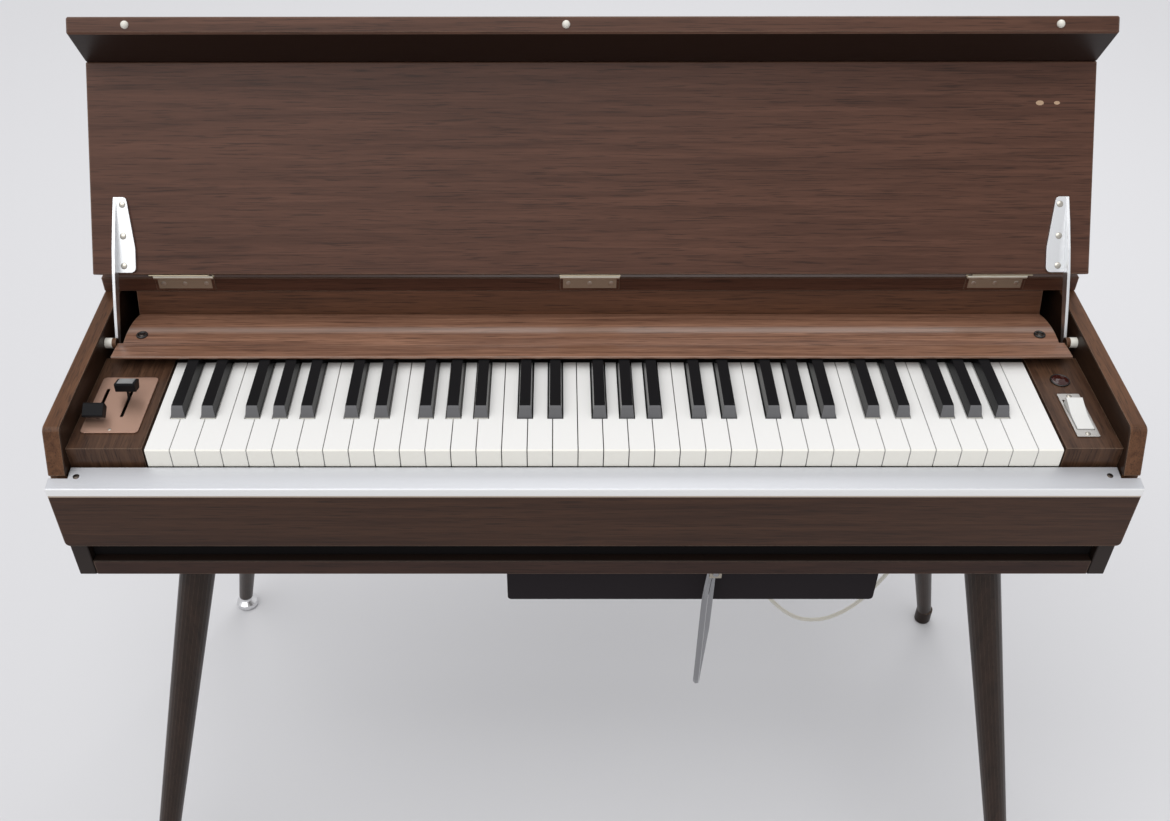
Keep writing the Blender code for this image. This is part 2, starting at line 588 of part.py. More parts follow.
def hinge_leaf(name, centre, side, surface):
    """One leaf of a butt hinge about the local X axis: side 1 is the fixed leaf, -1 the lid's leaf with the pin."""
    near = side * HINGE_LEAF_GAP / 2
    far = side * (LEAF_BACK + (0.0004 if side > 0 else 0.0))
    top = -LID_AXIS_RISE - 0.0003
    leaf = block(name, (centre - HINGE_LENGTH / 2, centre + HINGE_LENGTH / 2), sorted((near, far)),
                 (top - HINGE_LEAF_HEIGHT, 0.0), surface)
    pitch = HINGE_LENGTH / HINGE_KNUCKLE_COUNT
    for index in range(HINGE_KNUCKLE_COUNT):
        start = centre - HINGE_LENGTH / 2 + index * pitch + GAP / 2
        mine = (index % 2 == 0) == (side > 0)
        if mine:
            barrel = turned(name + "_knuckle", [(0.0, 0.0), (HINGE_KNUCKLE_RADIUS, 0.0),
                                                (HINGE_KNUCKLE_RADIUS, pitch - GAP), (0.0, pitch - GAP)],
                            surface, 12)
            barrel.data.transform(Matrix.Translation((start, 0, 0)) @ Matrix.Rotation(math.pi / 2, 4, "Y"))
            barrel.parent = leaf
            combine(leaf, barrel, "UNION")
        else:
            room = HINGE_KNUCKLE_RADIUS + 2 * GAP
            clear = block(name + "_room", (start - GAP, start + pitch), (-room, room), (-room, room), surface)
            clear.parent = leaf
            combine(leaf, clear, "DIFFERENCE")
    pin_length = HINGE_LENGTH + (0.0020 if side < 0 else 0.0100)
    pin_radius = HINGE_PIN_RADIUS + (0.0 if side < 0 else GAP)
    pin = turned(name + "_pin", [(0.0, 0.0), (pin_radius, 0.0), (pin_radius, pin_length), (0.0, pin_length)],
                 surface, 10)
    pin.data.transform(Matrix.Translation((centre - pin_length / 2, 0, 0)) @ Matrix.Rotation(math.pi / 2, 4, "Y"))
    pin.parent = leaf
    combine(leaf, pin, "UNION" if side < 0 else "DIFFERENCE")
    return leaf


def lid_frame():
    """The empty on the lid's axis; the lid's pieces are drawn closed and this opens them."""
    axis = bpy.data.objects.new("lid_axis", None)
    axis.location = (0.0, *yz(LID_AXIS_BACK, LID_AXIS_UP))
    axis.rotation_euler.x = -LID_OPEN_ANGLE
    bpy.context.collection.objects.link(axis)
    return axis


def build_lid():
    """Lid panel and raked front lip, mitred where they meet, with three bumpers in the lip's edge."""
    axis = lid_frame()
    half = OVERALL_WIDTH / 2
    top = -LID_AXIS_RISE
    bottom = top - LID_THICKNESS
    rear = -(LEAF_BACK + GAP)
    down = Vector((-math.sin(LIP_ANGLE), -math.cos(LIP_ANGLE)))
    inner = Vector((-LID_INNER_LENGTH, bottom))
    inner_foot = inner + down * LIP_INNER_LENGTH
    outer_foot = inner_foot + Vector((-LIP_EDGE_DEPTH, 0.0))
    outer = outer_foot - down * ((top - outer_foot.y) / -down.y)
    mitre_gap = Vector((GAP, 0.0))
    panel = prism("lid_panel", [(rear, top), (rear, bottom), tuple(inner + mitre_gap), tuple(outer + mitre_gap)],
                  "X", -half, half, WALNUT)
    ease(panel)
    panel.parent = axis
    lip = prism("lid_lip", [tuple(inner), tuple(inner_foot), tuple(outer_foot), tuple(outer)],
                "X", -half, half, WALNUT)
    ease(lip, 0.0015)
    lip.parent = axis
    for position in BUMPER_POSITIONS:
        bumper = turned("lip_bumper", [(0.0, 0.004), (BUMPER_RADIUS, 0.004), (BUMPER_RADIUS, -BUMPER_HEIGHT * 0.4),
                                       (BUMPER_RADIUS * 0.6, -BUMPER_HEIGHT * 0.9), (0.0, -BUMPER_HEIGHT)], IVORY, 12)
        bumper.location = (position, (inner_foot.x + outer_foot.x) / 2, inner_foot.y)
        bumper.parent = axis
        combine(lip, bumper, "UNION")
    for name, centre in zip(("hinge_leaf_left", "hinge_leaf_middle", "hinge_leaf_right"), HINGE_POSITIONS):
        leaf = hinge_leaf(name, centre, -1, STEEL)
        leaf.parent = axis
    for name, side in (("left_lid_stay", -1), ("right_lid_stay", 1)):
        build_stay(name, side, axis, bottom)


def build_stay(name, side, axis, lid_face):
    """Lid stay: a flange screwed to the lid and a curved, tapering arm that meets the stop pin."""
    top, end = STAY_TOP_ALONG, STAY_END_ALONG
    edge = [(top, 0.0030), (0.052, 0.0078), (0.026, 0.0112), (0.002, 0.0127), (-0.024, 0.0120),
            (-0.050, STAY_ARM_DEPTH_AT_50), (end + 0.006, STAY_ARM_DEPTH_AT_END), (end + 0.001, 0.0080)]
    back_edge = [(end, 0.0062), (end + 0.001, STAY_BOARD_CLEARANCE + 0.0015), (end + 0.004, STAY_BOARD_CLEARANCE),
                 (0.0015, STAY_BOARD_CLEARANCE), (0.0035, GAP), (top, GAP)]
    outline = [(-along, lid_face - drop) for along, drop in edge + back_edge]
    outer_x = side * (INNER_HALF - STAY_FROM_CHEEK)
    arm = prism(name, outline, "X", outer_x, outer_x - side * STAY_THICKNESS, ALUMINIUM)
    arm.parent = axis
    inner_x = outer_x - side * STAY_THICKNESS * 0.5
    flange_out = outer_x - side * (STAY_FLANGE_WIDTH + STAY_THICKNESS)
    flange_outline = rounded([
        (inner_x, -0.0035), (flange_out, -0.0035, 0.0050), (flange_out, -0.028, 0.0300),
        (outer_x - side * (0.0100 + STAY_THICKNESS), -top, 0.0040), (inner_x, -top),
    ])
    flange = prism(name + "_flange", flange_outline, "Z", lid_face - GAP, lid_face - GAP - STAY_THICKNESS, ALUMINIUM)
    flange.parent = axis
    combine(arm, flange, "UNION")


def key_side(tail_notched):
    """Side view of a white key: cap, skirt that tapers to the rear, and the tail to the pivot blade."""
    points = [
        (0.0, -WHITE_KEY_FRONT_DEPTH), (0.0, -0.0012), (0.0012, 0.0),
        (WHITE_KEY_LENGTH, 0.0), (WHITE_KEY_LENGTH, -KEY_TAIL_DROP),
        (KEY_PIVOT_BACK + KEY_TAIL_OVERHANG, -KEY_TAIL_DROP),
        (KEY_PIVOT_BACK + KEY_TAIL_OVERHANG, KEY_TAIL_BOTTOM_UP),
    ]
    points += pivot_notch() if tail_notched else []
    points += [(WHITE_KEY_LENGTH, KEY_TAIL_BOTTOM_UP), (BLACK_KEY_FRONT_BACK + 0.010, -WHITE_KEY_FRONT_DEPTH)]
    return [yz(*point) for point in points]


def pivot_notch():
    """The notch in a tail that sits over the pivot blade."""
    half = PIVOT_BLADE_THICKNESS / 2 + PIVOT_NOTCH_CLEARANCE
    return [
        (KEY_PIVOT_BACK + half, KEY_TAIL_BOTTOM_UP),
        (KEY_PIVOT_BACK + half, KEY_TAIL_BOTTOM_UP + PIVOT_NOTCH_DEPTH),
        (KEY_PIVOT_BACK - half, KEY_TAIL_BOTTOM_UP + PIVOT_NOTCH_DEPTH),
        (KEY_PIVOT_BACK - half, KEY_TAIL_BOTTOM_UP),
    ]


def black_key_centres():
    """Centres of the black keys, by octave and note name."""
    shifts = {"Cs": (1, -0.11), "Ds": (2, 0.11), "Fs": (4, -0.11), "Gs": (5, 0.0), "As": (6, 0.11)}
    octaves = WHITE_KEY_COUNT // 7
    return {(octave, note): KEYS_LEFT + KEY_PITCH * (7 * octave + boundary + shift)
            for octave in range(octaves) for note, (boundary, shift) in shifts.items()}


def white_key(name, index, blacks, moving):
    """A white key: its side view, trimmed to its plan between the black keys."""
    left = KEYS_LEFT + index * KEY_PITCH + KEY_SPACING / 2
    right = left + KEY_PITCH - KEY_SPACING
    slot = BLACK_KEY_BASE_WIDTH / 2 + BLACK_KEY_SLOT_CLEARANCE
    rear_left, rear_right = left, right
    for centre in blacks:
        if left - slot < centre < (left + right) / 2:
            rear_left = max(left, centre + slot)
        if (left + right) / 2 < centre < right + slot:
            rear_right = min(right, centre - slot)
    middle = (rear_left + rear_right) / 2
    tail_left, tail_right = middle - KEY_TAIL_WIDTH / 2, middle + KEY_TAIL_WIDTH / 2
    notch_y = yz(BLACK_KEY_FRONT_BACK - 0.0015, 0)[0]
    cap_y = yz(WHITE_KEY_LENGTH, 0)[0]
    front_y = yz(-0.005, 0)[0]
    end_y = yz(KEY_PIVOT_BACK + KEY_TAIL_OVERHANG + 0.005, 0)[0]
    plan = [(left, front_y), (right, front_y), (right, notch_y), (rear_right, notch_y), (rear_right, cap_y),
            (tail_right, cap_y), (tail_right, end_y), (tail_left, end_y), (tail_left, cap_y),
            (rear_left, cap_y), (rear_left, notch_y), (left, notch_y)]
    tidy_plan = [point for place, point in enumerate(plan) if point != plan[place - 1]]
    key = prism(name, key_side(moving), "X", left - 0.001, right + 0.001, IVORY)
    cutter = prism(name + "_plan", tidy_plan, "Z", KEY_TOP_HEIGHT - 0.05, KEY_TOP_HEIGHT + 0.01, IVORY)
    return combine(key, cutter, "INTERSECT")


def black_key(name, centre, moving):
    """A black key: a tapered cap with a sloped nose, and a tail like the white keys'."""
    nose = BLACK_KEY_FRONT_BACK
    points = [
        (nose, KEY_TAIL_BOTTOM_UP), (nose, 0.0), (nose + BLACK_KEY_NOSE_LEAN * 0.7, BLACK_KEY_HEIGHT - 0.0020),
        (nose + BLACK_KEY_NOSE_LEAN, BLACK_KEY_HEIGHT),
        (WHITE_KEY_LENGTH, BLACK_KEY_HEIGHT), (WHITE_KEY_LENGTH, -KEY_TAIL_DROP),
        (KEY_PIVOT_BACK + KEY_TAIL_OVERHANG, -KEY_TAIL_DROP),
        (KEY_PIVOT_BACK + KEY_TAIL_OVERHANG, KEY_TAIL_BOTTOM_UP),
    ]
    points += pivot_notch() if moving else []
    key = prism(name, [yz(*point) for point in points], "X", centre - 0.01, centre + 0.01, BLACK_PLASTIC)
    base, top, tail = BLACK_KEY_BASE_WIDTH / 2, BLACK_KEY_TOP_WIDTH / 2, KEY_TAIL_WIDTH / 2
    low, datum = KEY_TOP_HEIGHT - 0.05, KEY_TOP_HEIGHT
    front_view = [(centre - tail, low), (centre + tail, low), (centre + tail, datum - KEY_TAIL_DROP),
                  (centre + base, datum - KEY_TAIL_DROP), (centre + base, datum), (centre + top, datum + BLACK_KEY_HEIGHT),
                  (centre + top, datum + 0.03), (centre - top, datum + 0.03), (centre - top, datum + BLACK_KEY_HEIGHT),
                  (centre - base, datum), (centre - base, datum - KEY_TAIL_DROP), (centre - tail, datum - KEY_TAIL_DROP)]
    cutter = prism(name + "_section", front_view, "Y", yz(0, 0)[0], yz(KEY_PIVOT_BACK + 0.02, 0)[0], BLACK_PLASTIC)
    return combine(key, cutter, "INTERSECT")


def build_keyboard():
    """The folded key frame, the keys that move by themselves and those fused to the frame at their tails."""
    frame_top = KEY_TOP_HEIGHT + FRAME_TOP_UP
    frame_bottom = KEY_TOP_HEIGHT + KEY_FRAME_UP
    half = INNER_HALF - GAP
    front = yz(0.004, 0)[0]
    rear = yz(KEY_PIVOT_BACK + PIVOT_BLADE_THICKNESS / 2, 0)[0]
    blade_front = yz(KEY_PIVOT_BACK - PIVOT_BLADE_THICKNESS / 2, 0)[0]
    keys_left, keys_right = KEYS_LEFT + 0.001, KEYS_RIGHT - 0.001
    frame = prism("key_frame", [
        (front, frame_bottom - KEY_FRAME_FRONT_FLANGE), (front, frame_top), (blade_front, frame_top),
        (blade_front, KEY_TOP_HEIGHT + PIVOT_UP), (rear, KEY_TOP_HEIGHT + PIVOT_UP), (rear, frame_bottom),
        (front + KEY_FRAME_THICKNESS, frame_bottom), (front + KEY_FRAME_THICKNESS, frame_bottom - KEY_FRAME_FRONT_FLANGE),
    ], "X", keys_left, keys_right, STEEL)
    ends = block("frame_ends", (-half, half), (front, rear - 0.0005), (frame_bottom + 0.0001, frame_top - 0.0001), STEEL)
    combine(frame, ends, "UNION")

    fused = bpy.data.collections.new("keys_fused_to_the_frame")
    bpy.context.scene.collection.children.link(fused)
    names = ("C", "D", "E", "F", "G", "A", "B")
    blacks = black_key_centres()
    moving_octaves = range(FIRST_MOVING_OCTAVE, LAST_MOVING_OCTAVE + 1)

    def file_key(key, octave):
        if octave in moving_octaves:
            move_origin(key, Vector((0.0, *yz(KEY_PIVOT_BACK, PIVOT_UP))))
            return
        as_cutter(key)
        bpy.context.collection.objects.unlink(key)
        fused.objects.link(key)

    for index in range(WHITE_KEY_COUNT):
        octave = index // 7
        name = f"key_{names[index % 7]}{octave + 2}"
        file_key(white_key(name, index, blacks.values(), octave in moving_octaves), octave)
    for (octave, note), centre in blacks.items():
        file_key(black_key(f"key_{note}{octave + 2}", centre, octave in moving_octaves), octave)

    union = frame.modifiers.new("keys", "BOOLEAN")
    union.operation = "UNION"
    union.solver = "EXACT"
    union.operand_type = "COLLECTION"
    union.collection = fused


def move_origin(made, place):
    """Puts an object's origin on its joint, with its shape and its tools where they were."""
    made.data.transform(Matrix.Translation(-place))
    made.location = place


def slotted_hole(name, centre, size, z_range):
    """A cutter for a slot with round ends, long along Y."""
    radius = size[0] / 2
    outline = []
    for end, start_angle in ((1, 0.0), (-1, math.pi)):
        middle = centre[1] + end * (size[1] / 2 - radius)
        for step in range(7):
            angle = start_angle + math.pi * step / 6
            outline.append((centre[0] + radius * math.cos(angle), middle + radius * math.sin(angle)))
    return prism(name, outline, "Z", z_range[0], z_range[1], STEEL)


def build_key_blocks():
    """The two end blocks of the keyboard; each steps down at the rear, where it carries the rail."""
    rail_seat = KEY_TOP_HEIGHT + RAIL_BOTTOM_UP - GAP
    floor = KEY_TOP_HEIGHT + FRAME_TOP_UP + GAP
    cover = KEY_TOP_HEIGHT + 0.02
    spans = {"left_key_block": (-INNER_HALF + GAP, -INNER_HALF + LEFT_BLOCK_WIDTH),
             "right_key_block": (RIGHT_BLOCK_LEFT, INNER_HALF - GAP)}
    blocks = {}
    for name, span in spans.items():
        side = -1 if span[0] < 0 else 1
        whole = block(name, span, (yz(BLOCK_FRONT_BACK, 0)[0], yz(KEY_PIVOT_BACK, 0)[0]),
                      (floor, KEY_TOP_HEIGHT), WALNUT)
        step = block(name + "_step", (span[0] - 0.01, span[1] + 0.01),
                     (yz(BLOCK_REAR_BACK, 0)[0], yz(KEY_PIVOT_BACK + 0.01, 0)[0]), (rail_seat, cover), WALNUT)
        slot = block(name + "_slot", sorted((side * (INNER_HALF - STAY_SLOT_WIDTH), side * (INNER_HALF + 0.01))),
                     (yz(BLOCK_REAR_BACK, 0)[0], yz(KEY_PIVOT_BACK + 0.01, 0)[0]), (floor - 0.01, cover), WALNUT)
        combine(whole, step, "DIFFERENCE")
        combine(whole, slot, "DIFFERENCE")
        blocks[name] = whole
    return blocks, floor


def build_controls(left_block, floor):
    """Control plate with its bracket and shaft, and the two levers that tilt in its slots."""
    plate_x = -INNER_HALF + CONTROL_PLATE_FROM_CHEEK
    plate_y = yz(CONTROL_PLATE_CENTRE_BACK, 0)[0]
    half_w, half_l = CONTROL_PLATE_WIDTH / 2, CONTROL_PLATE_LENGTH / 2
    radius = CONTROL_PLATE_CORNER_RADIUS
    bottom = KEY_TOP_HEIGHT + GAP
    top = bottom + CONTROL_PLATE_THICKNESS
    outline = rounded([(plate_x - half_w, plate_y - half_l, radius), (plate_x + half_w, plate_y - half_l, radius),
                       (plate_x + half_w, plate_y + half_l, radius), (plate_x - half_w, plate_y + half_l, radius)], 3)
    plate = prism("control_plate", outline, "Z", bottom, top, COPPER)
    shaft_y = yz(LEVER_SLOT_CENTRE_BACK, 0)[0]
    shaft_z = KEY_TOP_HEIGHT - LEVER_PIVOT_DEPTH
    well_w = half_w - CONTROL_WELL_MARGIN
    for side in (-1, 1):
        ear_x = plate_x + side * (well_w - 0.0020)
        ear = block("control_ear", (ear_x - 0.0007, ear_x + 0.0007), (shaft_y - 0.006, shaft_y + 0.006),
                    (shaft_z - 0.005, bottom + 0.0005), COPPER)
        combine(plate, ear, "UNION")
    shaft_length = 2 * (well_w - 0.0020)
    shaft = turned("control_shaft", [(0.0, 0.0), (LEVER_SHAFT_RADIUS, 0.0), (LEVER_SHAFT_RADIUS, shaft_length),
                                     (0.0, shaft_length)], STEEL, 12)
    shaft.matrix_world = (Matrix.Translation((plate_x - shaft_length / 2, shaft_y, shaft_z))
                          @ Matrix.Rotation(math.pi / 2, 4, "Y"))
    combine(plate, shaft, "UNION")

    well = block("control_well", (plate_x - well_w, plate_x + well_w),
                 (plate_y - half_l + 2 * CONTROL_WELL_MARGIN, plate_y + half_l - 2 * CONTROL_WELL_MARGIN),
                 (floor - 0.01, KEY_TOP_HEIGHT + 0.01), WALNUT)
    combine(left_block, well, "DIFFERENCE")

    levers = (("left_lever", LEFT_LEVER_OFFSET, LEFT_LEVER_LEAN), ("right_lever", RIGHT_LEVER_OFFSET, RIGHT_LEVER_LEAN))
    for name, offset, lean in levers:
        x = plate_x + offset
        slot = slotted_hole(name + "_slot", (x, shaft_y), (LEVER_SLOT_WIDTH, LEVER_SLOT_LENGTH),
                            (bottom - 0.004, top + 0.004))
        combine(plate, slot, "DIFFERENCE")
        build_lever(name, Vector((x, shaft_y, shaft_z)), lean)


def build_lever(name, pivot, lean):
    """A tilting control lever: bored hub, flat stem and a wedge-shaped knob."""
    hub_half = 0.0023
    low, high = LEVER_KNOB_RADIUS_AT - LEVER_KNOB_HEIGHT / 2, LEVER_KNOB_RADIUS_AT + LEVER_KNOB_HEIGHT / 2
    stem = block(name, (-LEVER_STEM_THICKNESS / 2, LEVER_STEM_THICKNESS / 2),
                 (-LEVER_STEM_WIDTH / 2, LEVER_STEM_WIDTH / 2), (0.0, low + 0.002), CHROME)
    hub = turned(name + "_hub", [(0.0, -hub_half), (LEVER_HUB_RADIUS, -hub_half), (LEVER_HUB_RADIUS, hub_half),
                                 (0.0, hub_half)], BLACK_PLASTIC, 16)
    bore_radius = LEVER_SHAFT_RADIUS + GAP
    bore = turned(name + "_bore", [(0.0, -0.01), (bore_radius, -0.01), (bore_radius, 0.01), (0.0, 0.01)],
                  BLACK_PLASTIC, 12)
    knob = prism(name + "_knob", rounded([
        (-LEVER_KNOB_LENGTH / 2 + 0.002, low, 0.001), (LEVER_KNOB_LENGTH / 2 - 0.002, low, 0.001),
        (LEVER_KNOB_LENGTH / 2, high, 0.0015), (-LEVER_KNOB_LENGTH / 2, high, 0.0015)], 2),
        "X", -LEVER_KNOB_WIDTH / 2, LEVER_KNOB_WIDTH / 2, BLACK_PLASTIC)
    for turned_piece in (hub, bore):
        turned_piece.data.transform(Matrix.Rotation(math.pi / 2, 4, "Y"))
    for piece, operation in ((hub, "UNION"), (knob, "UNION"), (bore, "DIFFERENCE")):
        piece.parent = stem
        combine(stem, piece, operation)
    stem.location = pivot
    stem.rotation_euler.x = -lean


def build_switch_and_lamp(right_block, floor):
    """Mains rocker in its steel plate, and the pilot lamp behind it."""
    x = INNER_HALF - SWITCH_FROM_CHEEK
    y = yz(SWITCH_CENTRE_BACK, 0)[0]
    half_w, half_l = SWITCH_PLATE_WIDTH / 2, SWITCH_PLATE_LENGTH / 2
    bottom = KEY_TOP_HEIGHT + GAP
    top = bottom + SWITCH_PLATE_THICKNESS
    plate = prism("switch_plate", rounded([(x - half_w, y - half_l, 0.001), (x + half_w, y - half_l, 0.001),
                                           (x + half_w, y + half_l, 0.001), (x - half_w, y + half_l, 0.001)], 2),
                  "Z", bottom, top, STEEL)
    window_w = ROCKER_WIDTH / 2 + ROCKER_CLEARANCE
    window_l = ROCKER_LENGTH / 2 + ROCKER_CLEARANCE
    for side in (-1, 1):
        ear_x = x + side * (window_w + 0.0006)
        ear = block("rocker_ear", (ear_x - 0.0006, ear_x + 0.0006), (y - 0.004, y + 0.004),
                    (KEY_TOP_HEIGHT - ROCKER_BODY_DEPTH, bottom + 0.0005), STEEL)
        combine(plate, ear, "UNION")
    window = block("rocker_window", (x - window_w, x + window_w), (y - window_l, y + window_l),
                   (bottom - 0.002, top + 0.002), STEEL)
    combine(plate, window, "DIFFERENCE")
    trunnion = turned("rocker_trunnion", [(0.0, 0.0), (0.0015, 0.0), (0.0015, 2 * window_w + 0.002),
                                          (0.0, 2 * window_w + 0.002)], STEEL, 10)
    trunnion_z = KEY_TOP_HEIGHT - ROCKER_BODY_DEPTH / 2
    trunnion.matrix_world = (Matrix.Translation((x - window_w - 0.001, y, trunnion_z))
                             @ Matrix.Rotation(math.pi / 2, 4, "Y"))
    combine(plate, trunnion, "UNION")

    half = ROCKER_LENGTH / 2 - 0.0018
    rise = top - trunnion_z
    rocker = prism("power_rocker", rounded([
        (-half, rise + 0.0042, 0.0008), (-half, 0.0015), (-0.006, -0.0035), (0.006, -0.0035), (half, 0.0015),
        (half, rise + 0.0042, 0.0008), (0.0, rise + 0.0015, 0.0300)], 3),
        "X", -ROCKER_WIDTH / 2, ROCKER_WIDTH / 2, WHITE_PLASTIC)
    bore = turned("rocker_bore", [(0.0, -0.01), (0.0018, -0.01), (0.0018, 0.01), (0.0, 0.01)], STEEL, 10)
    bore.data.transform(Matrix.Rotation(math.pi / 2, 4, "Y"))
    bore.parent = rocker
    combine(rocker, bore, "DIFFERENCE")
    rocker.location = (x, y, trunnion_z)
    rocker.rotation_euler.x = ROCKER_LEAN

    well = block("switch_well", (x - window_w - 0.002, x + window_w + 0.002), (y - window_l, y + window_l),
                 (floor - 0.01, KEY_TOP_HEIGHT + 0.01), WALNUT)
    combine(right_block, well, "DIFFERENCE")

    lamp_x = INNER_HALF - PILOT_FROM_CHEEK
    lamp_y = yz(PILOT_CENTRE_BACK, 0)[0]
    shank = PILOT_RADIUS - 0.0020
    lamp = turned("pilot_lamp", [(0.0, -PILOT_BODY_DEPTH), (shank, -PILOT_BODY_DEPTH), (shank, GAP),
                                 (PILOT_RADIUS, GAP), (PILOT_RADIUS, 0.0012), (PILOT_RADIUS - 0.0015, 0.0014),
                                 (0.0045, PILOT_RISE - 0.0004), (0.0, PILOT_RISE)], LAMP_RED, 20)
    lamp.location = (lamp_x, lamp_y, KEY_TOP_HEIGHT)
    hole = turned("lamp_hole", [(0.0, -0.05), (shank + GAP, -0.05), (shank + GAP, 0.01), (0.0, 0.01)], WALNUT, 20)
    hole.location = lamp.location
    combine(right_block, hole, "DIFFERENCE")


def build_leg(name, top_place):
    """A tapered leg with its angled steel plate and its glide, fused into one piece from plate to floor."""
    outward, backward = LEG_SPLAY[name]
    top = Vector((top_place[0], *yz(top_place[1], CABINET_BOTTOM_UP - GAP)))
    foot = Vector((top.x + math.copysign(outward, top.x), top.y + backward, GLIDE_HEIGHT))
    along = foot - top
    plate = block(name, (top.x - LEG_PLATE_SIZE / 2, top.x + LEG_PLATE_SIZE / 2),
                  (top.y - LEG_PLATE_SIZE / 2, top.y + LEG_PLATE_SIZE / 2),
                  (top.z - LEG_PLATE_THICKNESS, top.z), STEEL)
    start = LEG_BOSS_HEIGHT
    length = along.length
    taper = turned(name + "_taper", [(0.0, LEG_STUD_START), (LEG_STUD_RADIUS, LEG_STUD_START),
                                     (LEG_STUD_RADIUS, start), (LEG_TOP_RADIUS - 0.001, start),
                                     (LEG_TOP_RADIUS, start + 0.002), (LEG_TIP_RADIUS, length), (0.0, length)],
                   DARK_WOOD, 24)
    taper.matrix_world = Matrix.Translation(top) @ along.to_track_quat("Z", "Y").to_matrix().to_4x4()
    combine(plate, taper, "UNION")
    if name == "leg_rear_right":
        radius = LEG_TIP_RADIUS + 0.0016
        profile = [(0.0, 0.0), (radius - 0.001, 0.0), (radius, 0.002), (radius, GLIDE_HEIGHT + 0.004),
                   (0.0, GLIDE_HEIGHT + 0.004)]
    else:
        profile = [(0.0, 0.0), (GLIDE_RADIUS - 0.003, 0.0), (GLIDE_RADIUS, 0.003), (GLIDE_RADIUS * 0.93, 0.008),
                   (GLIDE_RADIUS * 0.55, 0.0125), (GLIDE_RADIUS * 0.45, 0.015), (LEG_TIP_RADIUS - 0.001, GLIDE_HEIGHT - 0.001),
                   (LEG_TIP_RADIUS - 0.001, GLIDE_HEIGHT + 0.004), (0.0, GLIDE_HEIGHT + 0.004)]
    glide = turned(name + "_glide", profile, CHROME, 24)
    glide.location = (foot.x, foot.y, 0.0)
    combine(plate, glide, "UNION")


def build_knee_lever():
    """Knee lever: a bent chrome loop on a cross shaft, in a bracket with the peg that limits its swing."""
    pivot = Vector((KNEE_LEVER_X, *yz(KNEE_LEVER_BACK, CABINET_BOTTOM_UP - KNEE_PIVOT_DROP)))
    half = KNEE_BRACKET_WIDTH / 2
    plate_top = -GAP + KNEE_PIVOT_DROP
    reach = KNEE_LOOP_WIDTH / 2 + 0.005
    bracket = block("knee_lever_bracket", (-half, half + 0.006), (-reach, reach),
                    (plate_top - KNEE_BRACKET_WALL, plate_top), STEEL)
    for side in (-1, 1):
        near, far = side * (reach - KNEE_BRACKET_WALL), side * reach
        ear = block("knee_ear", (-0.006, 0.006), sorted((near, far)), (-0.006, plate_top - 0.001), STEEL)
        ear.parent = bracket
        combine(bracket, ear, "UNION")
    peg = turned("knee_stop_peg", [(0.0, 0.0), (KNEE_STOP_RADIUS, 0.0), (KNEE_STOP_RADIUS, KNEE_STOP_LENGTH),
                                   (0.0, KNEE_STOP_LENGTH)], WHITE_PLASTIC, 12)
    peg.location = (KNEE_STOP_OFFSET, -0.002, plate_top - 0.001 - KNEE_STOP_LENGTH)
    peg.parent = bracket
    combine(bracket, peg, "UNION")
    bracket.location = pivot

    bore_radius = KNEE_SHAFT_RADIUS + GAP
    bore = turned("knee_bracket_bore", [(0.0, -0.05), (bore_radius, -0.05), (bore_radius, 0.05), (0.0, 0.05)], STEEL, 12)
    bore.data.transform(Matrix.Rotation(math.pi / 2, 4, "X"))
    bore.parent = bracket
    combine(bracket, bore, "DIFFERENCE")

    shaft_half = reach + 0.001
    lever = turned("knee_lever", [(0.0, -shaft_half), (KNEE_SHAFT_RADIUS, -shaft_half),
                                  (KNEE_SHAFT_RADIUS, shaft_half), (0.0, shaft_half)], CHROME, 12)
    lever.data.transform(Matrix.Rotation(math.pi / 2, 4, "X"))
    drop = KNEE_LEVER_DROP
    wide = KNEE_LOOP_WIDTH / 2
    knots = [Vector((0.0, -0.004, 0.0)), Vector((-0.001, -0.006, -0.012)), Vector((-0.0030, -wide * 0.95, -0.034)),
             Vector((-0.0035, -wide, -0.060)), Vector((-0.0030, -wide, -drop + 0.030)),
             Vector((-0.0030, -wide + 0.001, -drop + 0.010)), Vector((-0.0025, -wide + 0.006, -drop)),
             Vector((-0.0020, -wide + 0.012, -drop + 0.010)), Vector((0.0005, wide - 0.002, -drop + 0.052)),
             Vector((0.0010, wide, -drop + 0.066)), Vector((0.0010, wide, -0.050)),
             Vector((0.0010, wide * 0.85, -0.030)), Vector((0.0, 0.006, -0.010)), Vector((0.0, 0.004, 0.0))]
    twist = Matrix.Rotation(-KNEE_LOOP_TWIST, 3, "Z")
    loop = rod_tool("knee_loop", smooth_curve([twist @ knot for knot in knots], 0.0065), KNEE_ROD_RADIUS, CHROME, 1)
    loop.parent = lever
    combine(lever, loop, "UNION")
    lever.location = pivot


